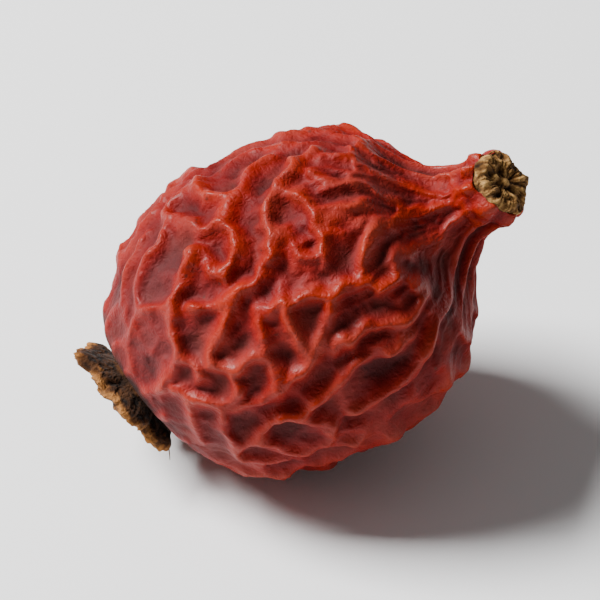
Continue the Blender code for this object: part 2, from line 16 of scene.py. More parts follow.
import bmesh
import bpy
import numpy as np
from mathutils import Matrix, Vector

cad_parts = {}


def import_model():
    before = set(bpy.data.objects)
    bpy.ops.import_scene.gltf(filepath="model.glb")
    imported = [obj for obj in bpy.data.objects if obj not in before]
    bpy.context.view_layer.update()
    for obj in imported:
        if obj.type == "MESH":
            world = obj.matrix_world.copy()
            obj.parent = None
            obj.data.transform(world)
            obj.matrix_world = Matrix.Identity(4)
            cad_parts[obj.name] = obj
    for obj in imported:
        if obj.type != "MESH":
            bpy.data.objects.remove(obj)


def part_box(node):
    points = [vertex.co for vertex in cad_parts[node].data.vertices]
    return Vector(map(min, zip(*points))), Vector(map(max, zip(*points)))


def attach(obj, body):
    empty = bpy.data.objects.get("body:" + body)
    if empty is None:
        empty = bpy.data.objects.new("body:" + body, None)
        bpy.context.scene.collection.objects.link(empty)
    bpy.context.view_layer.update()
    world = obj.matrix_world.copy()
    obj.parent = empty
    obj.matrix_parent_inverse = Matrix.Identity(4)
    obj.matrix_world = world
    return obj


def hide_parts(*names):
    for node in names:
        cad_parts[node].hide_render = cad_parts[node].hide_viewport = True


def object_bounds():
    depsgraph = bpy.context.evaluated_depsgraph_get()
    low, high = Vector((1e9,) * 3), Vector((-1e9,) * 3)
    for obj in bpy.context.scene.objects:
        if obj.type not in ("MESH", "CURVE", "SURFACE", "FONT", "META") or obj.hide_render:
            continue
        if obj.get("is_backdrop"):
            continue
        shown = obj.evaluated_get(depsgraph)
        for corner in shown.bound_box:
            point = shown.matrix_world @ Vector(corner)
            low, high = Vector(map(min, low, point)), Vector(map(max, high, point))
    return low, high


LOG = logging.getLogger("rose_hip")
MM = 0.001
MERGED = 1e-7
GOLDEN_TURN = math.radians(137.508)

Array = np.ndarray
Draws = np.random.Generator
Shape = bpy.types.Object
Node = bpy.types.Node
NodeTree = bpy.types.NodeTree
Socket = bpy.types.NodeSocket
Colour = tuple[float, float, float]
Profile = Sequence[tuple[float, float]]
Waves = Sequence[tuple[int, float, float]]
Between = tuple[float, float, float, float]


class Piece(Enum):
    """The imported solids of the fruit, by the names of their nodes."""

    HIP = "hip"
    CALYX = "calyx"
    STYLES = "style_tuft"
    STUB = "stalk_stub"


class Slot(Enum):
    """The material slots of the record."""

    SKIN = "fruit_skin"
    CALYX = "dry_calyx"
    STYLES = "dry_styles"
    STALK = "dry_stalk"


class Blend(Enum):
    """How one colour is laid over another."""

    MIX = "MIX"
    MULTIPLY = "MULTIPLY"


def rise(value: Array | float, low: float, high: float) -> Array:
    """Smooth step between two values.

    Args:
        value: What is compared.
        low: Up to here the result is 0.
        high: From here on the result is 1.

    Returns:
        The share between 0 and 1, in the shape of value.
    """
    share = np.clip((np.asarray(value, float) - low) / (high - low), 0.0, 1.0)
    return share * share * (3.0 - 2.0 * share)


def within(value: Array, between: Between) -> Array:
    """1 between the two middle values of four, falling to 0 at the outer two."""
    return rise(value, *between[:2]) * (1 - rise(value, *between[2:]))


def waves_round(angle: Array, waves: Waves) -> Array:
    """The sum of waves round the axis, each given as (number, phase, height)."""
    return sum(height * np.cos(number * angle + phase) for number, phase, height in waves)


def spline(u: Array, a: Array, b: Array, c: Array, d: Array) -> Array:
    """A smooth step from b to c, at shares u of the way, that heads for them as a and d say."""
    return b + 0.5 * u * (c - a + u * (2 * a - 5 * b + 4 * c - d + u * (3 * b - a - 3 * c + d)))


def curve_through(points: Array, steps: int) -> Array:
    """A smooth curve through points.

    Args:
        points: One row for each point.
        steps: Steps from each point to the next.

    Returns:
        The points of the curve, ends included.
    """
    points = np.asarray(points, float)
    points = np.vstack([2 * points[0] - points[1], points, 2 * points[-1] - points[-2]])
    u = np.linspace(0.0, 1.0, steps, endpoint=False)[:, None]
    spans = [spline(u, *four) for four in zip(points, points[1:], points[2:], points[3:])]
    return np.vstack(spans + [points[-2:-1]])


def turn_between(angle: Array, other: float) -> Array:
    """The signed turn from one angle to another, in radians from -pi to pi."""
    return (angle - other + math.pi) % (2 * math.pi) - math.pi


def ripple(points: Array, length: float, random: Draws, waves: int = 7) -> Array:
    """A smooth noise of about -1 to 1 in space.

    Args:
        points: Places, with x, y and z on the last axis.
        length: About how long a bump is.
        random: The seeded generator that the waves are drawn from.
        waves: How many plane waves make up the noise.

    Returns:
        The noise at each place.
    """
    total = np.zeros(points.shape[:-1])
    for _ in range(waves):
        way = random.standard_normal(3)
        way *= 2 * math.pi / (length * random.uniform(0.7, 1.4) * np.linalg.norm(way))
        total = total + np.sin(points @ way + random.uniform(0, 2 * math.pi))
    return total / math.sqrt(waves + 2)


def in_space(along: Array, angle: Array, radius: Array) -> Array:
    """Places about the X axis as x, y and z on the last axis, for noise that has no seam."""
    parts = np.broadcast_arrays(along, radius * np.cos(angle), radius * np.sin(angle))
    return np.stack(parts, axis=-1)


@dataclass(frozen=True)
class Patches:
    """A share that varies smoothly from place to place, held between two values."""

    middle: float
    swing: float
    length: float
    low: float = 0.0
    high: float = 1.0

    def over(self, places: Array, random: Draws) -> Array:
        """The share at each place."""
        return np.clip(self.middle + self.swing * ripple(places, self.length, random), self.low, self.high)


@dataclass(frozen=True)
class Fruit:
    """The fruit's own measures in millimetres and degrees, and how it lies.

    Places along its axis are distances from the middle of the calyx plate. Angles go round
    the axis from the top of the fruit towards its near side.
    """

    length: float = 17.8
    radius: float = 6.75
    calyx_end: float = 1.1
    neck_end: float = 17.15
    outline: Profile = (
        (0.0618, 0.37), (0.068, 0.44), (0.083, 0.54), (0.107, 0.635), (0.157, 0.765),
        (0.22, 0.88), (0.287, 0.95), (0.382, 1.0), (0.483, 1.0), (0.562, 0.97), (0.652, 0.895),
        (0.715, 0.795), (0.755, 0.67), (0.783, 0.53), (0.81, 0.41), (0.85, 0.305),
        (0.895, 0.248), (0.925, 0.23), (0.945, 0.237), (0.9635, 0.245),
    )
    pitch: float = 30.0
    rest_depth: float = 0.24
    rest_fade: tuple[float, float] = (1.7, 2.8)
    rest_height: tuple[float, float] = (1.6, 2.4)
    calyx_tilt: float = 12.0
    calyx_tilt_towards: float = -40.0
    calyx_tilt_fade: float = 2.5
    neck_bend: float = 30.0
    neck_bend_towards: float = 50.0
    neck_bend_from: float = 12.8
    full_side: float = 125.0
    full_share: float = 0.03
    full_between: Between = (6.0, 10.0, 12.6, 14.2)
    dent_depth: float = 0.12
    dent_orders: Sequence[tuple[int, float]] = ((2, 0.5), (3, 0.8), (3, 1.7), (4, 1.2), (5, 2.1))
    dent_turn: float = 2.3
    dent_between: Between = (1.0, 4.0, 12.0, 14.5)
    curve_steps: int = 40
    bend_steps: int = 200
    past_neck: float = 3.0

    def meridian(self, rows: int) -> tuple[Array, Array, Array]:
        """The line from calyx to neck on the smooth fruit.

        Args:
            rows: How many points, at equal steps along the skin.

        Returns:
            Distance from the calyx, radius, and length along the skin.
        """
        outline = np.array(self.outline)
        outline[0, 0], outline[-1, 0] = self.calyx_end / self.length, self.neck_end / self.length
        dense = curve_through(outline * (self.length, self.radius), self.curve_steps)
        length = np.concatenate([[0.0], np.cumsum(np.hypot(*np.diff(dense, axis=0).T))])
        skin = np.linspace(0.0, length[-1], rows)
        return np.interp(skin, length, dense[:, 0]), np.interp(skin, length, dense[:, 1]), skin

    def uneven_share(self, along: Array, angle: Array) -> Array:
        """The share by which uneven growth swells or shrinks the radius.

        Args:
            along: Distances from the calyx.
            angle: Angles round the axis, in radians.

        Returns:
            The share at each place, 0 where the fruit is round.
        """
        full = self.full_share * np.cos(angle - math.radians(self.full_side))
        share = full * within(along, self.full_between)
        belly = within(along, self.dent_between)
        for order, (waves, phase) in enumerate(self.dent_orders):
            swell = np.cos(waves * angle + phase + self.dent_turn * order)
            swell = swell * np.cos((order + 1) * math.pi * along / self.length + phase)
            share = share + belly * self.dent_depth / self.radius / math.sqrt(waves) * swell
        return share

    def laid_down(self, along: Array, angle: Array, radius: Array) -> Array:
        """Where points on the turned fruit lie once it is bent and laid down.

        Args:
            along: Distances from the calyx.
            angle: Angles round the axis, in radians.
            radius: Distances from the axis.

        Returns:
            One row of x, y and z for each point, in millimetres.
        """
        lean = math.tan(math.radians(self.calyx_tilt)) * (1 - rise(along, 0.0, self.calyx_tilt_fade))
        along = along - lean * radius * np.cos(angle - math.radians(self.calyx_tilt_towards))
        table = np.linspace(self.neck_bend_from, self.length + self.past_neck, self.bend_steps)
        bend = math.radians(self.neck_bend) * rise(table, self.neck_bend_from, self.neck_end)
        step = table[1] - table[0]
        forward = np.concatenate([[0.0], np.cumsum(np.cos(bend[1:]) * step)])
        aside = np.concatenate([[0.0], np.cumsum(np.sin(bend[1:]) * step)])
        here = np.interp(along, table, bend)
        on_neck = self.neck_bend_from + np.interp(along, table, forward)
        centre = np.where(along > self.neck_bend_from, on_neck, along)
        turn = math.radians(self.neck_bend_towards)
        towards, across = radius * np.cos(angle - turn), radius * np.sin(angle - turn)
        pitch = math.radians(self.pitch)
        axis = np.array([math.cos(pitch), 0.0, math.sin(pitch)])
        up = np.array([-math.sin(pitch), 0.0, math.cos(pitch)])
        near = np.array([0.0, -1.0, 0.0])
        return (
            np.outer(centre - towards * np.sin(here), axis)
            + np.outer(
                np.interp(along, table, aside) + towards * np.cos(here),
                math.cos(turn) * up + math.sin(turn) * near,
            )
            + np.outer(across, -math.sin(turn) * up + math.cos(turn) * near)
        )

    def resting_plane(self) -> tuple[float, Array]:
        """Finds the plane that the fruit is pressed onto.

        Returns:
            The plane's height, and the middle of the flat spot.
        """
        along, radius, _ = self.meridian(2 * self.bend_steps)
        angle = np.full(along.shape, math.pi)
        points = self.laid_down(along, angle, radius * (1 + self.uneven_share(along, angle)))
        lowest = points[points[:, 2].argmin()]
        return float(lowest[2]) + self.rest_depth, lowest


@dataclass(frozen=True)
class FoldLines:
    """The large folds of the near side.

    Each is its height, from 0 to 1, and its points, which are given as angle in degrees and
    distance from the calyx.
    """

    angles: tuple[float, float] = (-24.0, 116.0)
    lengths: tuple[float, float] = (1.7, 17.9)
    folds: Sequence[tuple[float, Sequence[tuple[float, float]]]] = (
        (1.0, ((-5, 11.2), (3, 10.8), (20, 9.4), (32, 9.2), (34, 8.7), (38, 8.4), (39, 7.4))),
        (1.0, ((39, 7.4), (52, 5.3), (56, 5.2), (60, 5.4))),
        (0.9, ((60, 5.4), (61, 5.9), (60, 7.3))),
        (0.9, ((60, 5.4), (67, 5.5), (70, 5.3), (72, 4.3), (59, 3.1))),
        (1.0, ((48, 7.7), (51, 9.7), (54, 9.9), (55, 10.3), (54, 11.0))),
        (1.0, ((48, 7.7), (75, 6.8))),
        (0.85, ((73, 8.4), (75, 7.6), (77, 6.1), (77, 5.1))),
        (0.9, ((51, 8.8), (61, 8.5), (71, 8.6))),
        (0.95, ((56, 10.5), (60, 10.2), (73, 8.4))),
        (1.0, ((83, 9.1), (87, 7.8), (89, 6.9), (86, 6.2))),
        (0.9, ((83, 9.1), (81, 10.5), (86, 11.3), (86, 12.0))),
        (0.95, ((73, 9.5), (72, 10.6), (77, 11.6), (79, 12.2), (81, 13.3), (75, 13.3), (69, 13.1))),
        (1.0, ((40, 13.3), (44, 12.5), (57, 11.7), (54, 11.0))),
        (0.9, ((40, 13.3), (33, 14.8), (34, 15.4), (46, 16.4))),
        (0.85, ((66, 14.6), (55, 13.2), (63, 12.8), (63, 12.3), (60, 12.0), (57, 11.7))),
        (0.6, ((62, 12.2), (79, 12.3))),
        (0.8, ((106, 13.9), (94, 13.1), (98, 11.9))),
        (0.85, ((98, 11.9), (100, 11.5), (99, 10.0), (99, 9.0), (97, 8.6))),
        (0.5, ((97, 8.6), (90, 8.7), (83, 9.1))),
        (0.7, ((111, 10.7), (112, 10.0), (112, 9.2), (111, 8.6), (108, 8.0), (108, 7.5))),
        (0.85, (
            (89, 6.4), (97, 7.4), (103, 7.3), (108, 6.9), (109, 6.3), (106, 5.5), (100, 5.0), (93, 4.7),
        )),
        (0.8, ((86, 6.2), (86, 5.7), (93, 4.7), (96, 3.6))),
        (1.0, ((16, 6.2), (20, 6.1), (32, 4.5), (48, 3.9))),
        (0.9, ((48, 3.9), (54, 4.3), (59, 4.4))),
        (0.9, ((48, 3.9), (58, 2.1))),
        (0.8, ((26, 2.2), (21, 3.0), (22, 3.5), (29, 4.7))),
        (0.75, ((-3, 6.1), (-2, 5.6), (4, 4.8), (4, 4.2), (7, 3.8), (21, 3.0))),
        (0.6, ((-13, 4.6), (-7, 3.9), (-3, 2.9), (17, 2.3), (22, 2.0))),
        (0.9, ((-9, 5.7), (9, 7.0), (13, 7.9))),
        (0.8, ((-17, 7.2), (-6, 7.4), (0, 7.8), (2, 8.4), (1, 8.9), (-8, 9.7), (-15, 10.6))),
        (0.7, ((-6, 7.4), (-12, 6.9), (-13, 6.4), (-13, 5.9), (-9, 5.7))),
        (0.8, ((2, 8.7), (13, 7.9))),
        (0.95, ((13, 7.9), (18, 8.2), (24, 8.2), (27, 7.9), (31, 7.1), (29, 6.8), (16, 6.5), (16, 6.2))),
        (0.45, ((16, 6.5), (15, 7.4), (18, 8.2))),
        (0.9, ((35, 5.3), (39, 6.3), (39, 7.4))),
        (0.8, ((64, 3.3), (91, 2.7))),
        (0.9, ((72, 4.3), (96, 3.6), (104, 3.8), (115, 5.1))),
        (0.7, ((-5, 11.2), (-12, 11.9), (-23, 12.0))),
        (0.8, ((4, 11.7), (15, 12.2), (15, 13.2), (22, 13.7), (24, 14.0), (30, 14.1))),
        (0.7, ((-22, 13.0), (1, 13.2), (15, 12.7))),
        (1.0, ((-45, 13.5), (-28, 14.5), (-22, 15.0), (-16, 16.2), (-24, 16.8))),
        (0.7, ((5, 13.5), (2, 14.2), (3, 14.6), (18, 15.2), (26, 16.5))),
        (0.8, ((23, 11.1), (26, 12.0), (25, 12.7), (27, 13.0), (31, 13.2))),
        (0.9, ((9, 10.2), (14, 10.9), (18, 11.1), (37, 11.1), (44, 10.8))),
        (0.8, ((26, 9.3), (31, 10.1), (36, 10.2), (39, 10.5), (41, 11.0))),
        (0.55, ((36, 10.2), (38, 9.9), (41, 9.9), (42, 10.2))),
        (0.6, ((28, 11.1), (34, 12.5), (37, 12.6))),
        (0.55, ((32, 11.1), (33, 11.5), (36, 11.8), (39, 11.7))),
        (0.6, ((-4, 12.1), (-7, 12.6), (-4, 12.9))),
        (0.6, ((2, 11.8), (3, 12.3), (8, 13.0))),
        (0.6, ((-21, 13.4), (-19, 13.7), (-14, 13.8), (-17, 14.1))),
        (0.5, ((46, 8.7), (47, 10.0))),
        (0.9, ((-30, 16.6), (-8, 16.4), (14, 16.3), (26, 16.5), (46, 16.4), (70, 16.5), (96, 16.7))),
        (0.7, ((56, 16.5), (64, 15.9), (70, 15.3), (73, 14.7), (70, 14.2))),
        (0.6, ((90, 16.6), (98, 15.8), (103, 15.0), (106, 13.9))),
    )


@dataclass(frozen=True)
class FoldRules:
    """How the skin buckles: widths in millimetres, and the rates of the growth."""

    seed: int = 5
    rows: int = 132
    columns: int = 264
    fold_spacing: float = 1.6
    pleat_spacing: float = 0.95
    depth: float = 0.8
    cell_spacing: float = 1.95
    crest_width: float = 0.34
    crest_tip: float = 0.08
    small_cell_spacing: float = 1.15
    small_crest_width: float = 0.24
    small_crest_height: float = 0.36
    first_cells: float = 0.6
    fewest_cells: int = 5
    cell_reach: tuple[float, float] = (3.0, 0.9)
    line_steps: int = 10
    seam: Patches = Patches(0.8, 0.3, 3.5, 0.3)
    small_seam: Patches = Patches(0.6, 0.7, 2.5)
    belly_between: tuple[float, float] = (0.25, 0.75)
    reach: float = 2.4
    steps: int = 200
    pace: float = 0.4
    growth: float = 0.7
    hollows: float = -0.9
    start: float = 0.3
    guide_pull: float = 0.5
    guide_level: float = 0.8
    pleat_pull: float = 1.5
    wander: float = 0.3
    wander_length: float = 2.6
    zigzag: float = 0.13
    zigzag_length: float = 1.1
    row_share: float = 0.86
    jitter: float = 0.36
    stretch: float = 1.4
    side_fade: float = 10.0
    end_fade: float = 0.8
    shares: Profile = (
        (1.1, 0.0), (1.7, 0.75), (3.0, 0.85), (5.5, 1.0), (12.5, 1.0), (15.0, 0.65),
        (16.2, 0.6), (16.7, 0.35), (17.15, 0.12),
    )


class FoldNet:
    """The folds of the skin on a grid of rows from calyx to neck and columns round the axis."""

    NOWHERE = 99.0

    def __init__(self, fruit: Fruit, lines: FoldLines, rules: FoldRules, rows: int, columns: int) -> None:
        """Lays the grid out and draws the crests that guide the folds.

        Args:
            fruit: The fruit's measures.
            lines: The large folds of the near side.
            rules: How the skin buckles.
            rows: Rows of the grid, from calyx to neck.
            columns: Columns of the grid, round the axis.
        """
        self.rules, self.lines, self.rows, self.columns = rules, lines, rows, columns
        self.along, self.radius, self.length = fruit.meridian(rows)
        self.angle = np.arange(columns) * 2 * math.pi / columns
        self.belly = rise(self.radius / fruit.radius, *rules.belly_between)
        self.random = np.random.default_rng(rules.seed)
        places = self.places()
        self.zigzag = [rules.zigzag * ripple(places, rules.zigzag_length, self.random) for _ in range(2)]
        self.wander = [rules.wander * ripple(places, rules.wander_length, self.random) for _ in range(2)]
        self.guided = np.maximum(self.belly[:, None], self.near_side())
        self.crest = self.crest_lines()

    def places(self) -> Array:
        """The grid's points in space on the smooth fruit."""
        return in_space(self.along[:, None], self.angle, self.radius[:, None])

    def around(self, angle: float, length: float, far: float) -> tuple[tuple, Array, Array]:
        """The part of the grid about one point.

        Args:
            angle: The point's angle.
            length: Its length along the skin.
            far: How far the part reaches.

        Returns:
            Its rows and columns, and its offsets from the point round and along the skin.
        """
        first, last = np.searchsorted(self.length, (length - far, length + far))
        first, last = min(first, self.rows - 2), max(last, 2)
        half = min(math.pi, far / self.radius[first:last].min())
        count = min(self.columns, 2 * math.ceil(half * self.columns / (2 * math.pi)) + 2)
        start = round(angle * self.columns / (2 * math.pi)) - count // 2
        window = np.ix_(np.arange(first, last), np.arange(start, start + count) % self.columns)
        across = self.radius[window[0]] * turn_between(self.angle[window[1]], angle)
        return window, across, self.length[window[0]] - length

    def main_crests(self) -> Array:
        """The crests of the large folds of the near side, each as high as it is said to be.

        Returns:
            Their height at each point of the grid.
        """
        crests = np.zeros((self.rows, self.columns))
        for height, fold in self.lines.folds:
            nearest = np.full(crests.shape, self.NOWHERE)
            route = [(math.radians(a), np.interp(t, self.along, self.length)) for a, t in fold]
            for angle, length in curve_through(np.array(route), self.rules.line_steps):
                window, across, down = self.around(angle, length, self.rules.reach)
                far = np.hypot(across + self.zigzag[0][window], down + self.zigzag[1][window])
                nearest[window] = np.minimum(nearest[window], far)
            crests = np.maximum(crests, height * self.crest_shape(nearest, self.rules.crest_width))
        return crests

    def from_cell_borders(self, spacing: float) -> Array:
        """Distance on the skin from the borders of uneven cells.

        Args:
            spacing: How far apart the middles of the cells are.

        Returns:
            The distance at each point of the grid.
        """
        rules = self.rules
        first = np.full((self.rows, self.columns), self.NOWHERE)
        second = first.copy()
        warp = [near + far for near, far in zip(self.zigzag, self.wander)]
        far_enough = rules.cell_reach[0] * spacing + rules.cell_reach[1]
        lengths = np.arange(rules.first_cells, self.length[-1], rules.row_share * spacing)
        for number, length in enumerate(lengths):
            radius = np.interp(length, self.length, self.radius)
            count = max(rules.fewest_cells, round(2 * math.pi * radius / spacing))
            for step in range(count):
                jitter = self.random.uniform(-rules.jitter, rules.jitter, 2)
                angle = 2 * math.pi * (step + 0.5 * (number % 2) + jitter[0]) / count
                lean, stretch = self.random.uniform(0, math.pi), self.random.uniform(1.0, rules.stretch)
                middle = length + jitter[1] * spacing
                window, across, down = self.around(angle, middle, far_enough)
                across, down = across + warp[0][window], down + warp[1][window]
                far = np.hypot(
                    (across * math.cos(lean) + down * math.sin(lean)) / stretch,
                    (down * math.cos(lean) - across * math.sin(lean)) * stretch,
                )
                second[window] = np.minimum(second[window], np.maximum(first[window], far))
                first[window] = np.minimum(first[window], far)
        return 0.5 * (second - first)

    def near_side(self) -> Array:
        """Marks where the large folds of the near side were laid out.

        Returns:
            1 in that part of the grid, 0 elsewhere.
        """
        degrees = np.degrees(turn_between(self.angle, 0.0))
        low, high = self.lines.angles
        round_it = within(degrees, (low, low + self.rules.side_fade, high - self.rules.side_fade, high))
        low, high = self.lines.lengths
        along_it = within(self.along, (low, low + self.rules.end_fade, high - self.rules.end_fade, high))
        return along_it[:, None] * round_it[None, :]

    def crest_lines(self) -> Array:
        """Draws the crests of all folds.

        Returns:
            1 on a crest, falling to 0 a fold's width away.
        """
        rules, near_side, places = self.rules, self.near_side(), self.places()
        main = self.main_crests()
        cells = self.crest_shape(self.from_cell_borders(rules.cell_spacing), rules.crest_width)
        worn = rules.seam.over(places, self.random)
        borders = self.from_cell_borders(rules.small_cell_spacing)
        small = self.crest_shape(borders, rules.small_crest_width)
        low = rules.small_seam.over(places, self.random)
        large = main * near_side + cells * (1 - near_side) * worn * self.belly[:, None]
        return 1 - (1 - large) * (1 - small * rules.small_crest_height * low)

    def crest_shape(self, distance: Array, width: float) -> Array:
        """A fold's height at this distance from its crest line: steep sides up to a narrow, round top."""
        return np.exp((self.rules.crest_tip - np.hypot(distance, self.rules.crest_tip)) / width)

    def bending(self) -> Array:
        """Works out the second derivative along the skin of a turned body.

        Returns:
            The matrix, row by row.
        """
        step = self.length[1] - self.length[0]
        between = 0.5 * (self.radius[1:] + self.radius[:-1]) / step**2
        matrix = np.zeros((self.rows, self.rows))
        row = np.arange(self.rows - 1)
        matrix[row, row + 1] = between / self.radius[:-1]
        matrix[row + 1, row] = between / self.radius[1:]
        return matrix - np.diag(matrix.sum(axis=1))

    def buckle(self) -> Array:
        """Lets a noise grow into folds.

        Returns:
            The height at each point of the grid, about -1.8 in a hollow to 1.1 on a crest.
        """
        rules = self.rules
        spacing = rules.pleat_spacing + (rules.fold_spacing - rules.pleat_spacing) * self.belly
        scale = ((spacing / (2 * math.pi)) ** 2)[:, None]
        bending, unit = self.bending(), np.eye(self.rows)
        pleats = (rules.pleat_pull * (1 - self.belly))[:, None] * scale * bending
        solvers = []
        for waves in range(self.columns // 2 + 1):
            spread = unit + scale * (bending - np.diag((waves / self.radius) ** 2))
            growth = rules.growth * unit - spread @ spread + pleats
            solvers.append(np.linalg.inv(unit - rules.pace * growth))
        stacked = np.array(solvers)
        pull = rules.guide_pull * (2 * self.crest - rules.guide_level) * self.guided
        height = rules.start * self.random.standard_normal((self.rows, self.columns))
        for _ in range(rules.steps):
            change = rules.hollows * height**2 - height**3 + pull
            waved = np.fft.rfft(height + rules.pace * change, axis=1).T[:, :, None]
            height = np.fft.irfft((stacked @ waved)[:, :, 0].T, self.columns, axis=1)
        return height


class PinchedNet(FoldNet):
    """The same folds as they look once the skin has dried: jagged, uneven, with full round backs."""

    BACK, BACK_SHARE = 0.41, 0.62
    JAG, JAG_LENGTH = 0.055, 0.5
    FAR_JAG = 0.7
    NEAR_HEIGHT = Patches(0.93, 0.13, 1.3, 0.65, 1.05)
    FAR_HEIGHT = Patches(0.68, 0.6, 1.8, 0.15)
    FAR_LEVEL = 0.32

    def __init__(self, fruit: Fruit, lines: FoldLines, rules: FoldRules, rows: int, columns: int) -> None:
        """Lays the finer grid out; see FoldNet."""
        self.dried = np.random.default_rng(rules.seed + 100)
        super().__init__(fruit, lines, rules, rows, columns)

    def crest_lines(self) -> Array:
        """Draws the crests jagged, uneven on the near side and fading here and there elsewhere.

        Returns:
            Their height at each point of the grid.
        """
        places, far = self.places(), 1 - self.near_side()
        jag = self.JAG * (1 + self.FAR_JAG * far)
        self.zigzag = [line + jag * ripple(places, self.JAG_LENGTH, self.dried) for line in self.zigzag]
        uneven = self.NEAR_HEIGHT.over(places, self.dried)
        faded = self.FAR_HEIGHT.over(places, self.dried)
        crests = super().crest_lines() * (uneven * (1 - far) + faded * far)
        return crests + (1 - crests) * self.FAR_LEVEL * (1 - faded) * far

    def crest_shape(self, distance: Array, width: float) -> Array:
        """The height of a crest this far from its middle: a round back on a pinched foot."""
        back = np.exp(-((distance / (self.BACK * width / self.rules.crest_width)) ** 2))
        return self.BACK_SHARE * back + (1 - self.BACK_SHARE) * super().crest_shape(distance, width)


def finer_grid(field: Array, rows: int, columns: int) -> Array:
    """A field on a coarse grid of the skin, smoothly drawn on a finer one.

    Args:
        field: Values by row and column; the columns go round and meet.
        rows: Rows of the finer grid.
        columns: Columns of the finer grid.

    Returns:
        The field on the finer grid.
    """
    waved = np.fft.rfft(field, axis=1)
    padded = np.zeros((len(field), columns // 2 + 1), complex)
    padded[:, : waved.shape[1]] = waved
    wide = np.fft.irfft(padded, columns, axis=1) * columns / field.shape[1]
    place = np.linspace(0.0, len(field) - 1.0, rows)
    low = np.minimum(place.astype(int), len(field) - 2)
    u = (place - low)[:, None]
    before, after = np.maximum(low - 1, 0), np.minimum(low + 2, len(field) - 1)
    return spline(u, wide[before], wide[low], wide[low + 1], wide[after])


def softened(field: Array) -> Array:
    """Evens out the sharpest steps of a field on the grid of the skin.

    Args:
        field: Values by row and column; the columns go round and meet.

    Returns:
        The evened field.
    """
    field = 0.25 * np.roll(field, 1, axis=1) + 0.5 * field + 0.25 * np.roll(field, -1, axis=1)
    field[1:-1] = 0.25 * field[:-2] + 0.5 * field[1:-1] + 0.25 * field[2:]
    return field


def value_at(field: Array, row: Array, angle: Array) -> Array:
    """A gridded field read at places between its points.

    Args:
        field: Values by row and column; the columns go round and meet.
        row: Rows, which may lie between whole ones.
        angle: Angles round the axis, in radians.

    Returns:
        The value at each place.
    """
    rows, columns = field.shape
    column = (angle / (2 * math.pi) % 1.0) * columns
    low = np.minimum(row.astype(int), rows - 2)
    left = column.astype(int) % columns
    right = (left + 1) % columns
    down, across = row - low, column - np.floor(column)
    upper = field[low, left] * (1 - across) + field[low, right] * across
    lower = field[low + 1, left] * (1 - across) + field[low + 1, right] * across
    return upper * (1 - down) + lower * down


def nothing_selected() -> None:
    """Leaves edit mode and deselects every object."""
    if bpy.context.object and bpy.context.object.mode != "OBJECT":
        bpy.ops.object.mode_set(mode="OBJECT")
    bpy.ops.object.select_all(action="DESELECT")


def axis_coordinates(piece: Shape) -> tuple[Array, Array, Array]:
    """Reads where the vertices of a piece are about the X axis.

    Args:
        piece: The piece, still about the X axis.

    Returns:
        Distance along the axis, angle and radius of each vertex.
    """
    points = np.empty(len(piece.data.vertices) * 3)
    piece.data.vertices.foreach_get("co", points)
    points = points.reshape(-1, 3)
    return points[:, 0], np.arctan2(-points[:, 1], points[:, 2]), np.hypot(*points[:, 1:].T)


def put_points(piece: Shape, points: Array) -> None:
    """Moves the vertices of a piece to points given in millimetres."""
    piece.data.vertices.foreach_set("co", (np.asarray(points) * MM).ravel())
    piece.data.update()


def put_values(piece: Shape, name: str, values: Array) -> None:
    """Keeps a number for each vertex of a piece, for its material to read."""
    attribute = piece.data.attributes.new(name, "FLOAT", "POINT")
    attribute.data.foreach_set("value", np.asarray(values, np.float32))


def joined(pieces: Sequence[Shape]) -> Shape:
    """Makes one mesh of several pieces, with their places applied.

    Args:
        pieces: The pieces.

    Returns:
        The first of them, which now holds them all.
    """
    nothing_selected()
    for piece in pieces:
        piece.select_set(True)
    bpy.context.view_layer.objects.active = pieces[0]
    bpy.ops.object.transform_apply(location=True, rotation=True, scale=True)
    bpy.ops.object.join()
    nothing_selected()
    return pieces[0]


def outward(piece: Shape) -> None:
    """Merges the doubles of a piece and turns all its faces outwards.

    Args:
        piece: The piece, whose mesh is changed.
    """
    shape = bmesh.new()
    shape.from_mesh(piece.data)
    bmesh.ops.remove_doubles(shape, verts=shape.verts, dist=MERGED)
    bmesh.ops.recalc_face_normals(shape, faces=shape.faces)
    shape.to_mesh(piece.data)
    shape.free()
    piece.data.update()


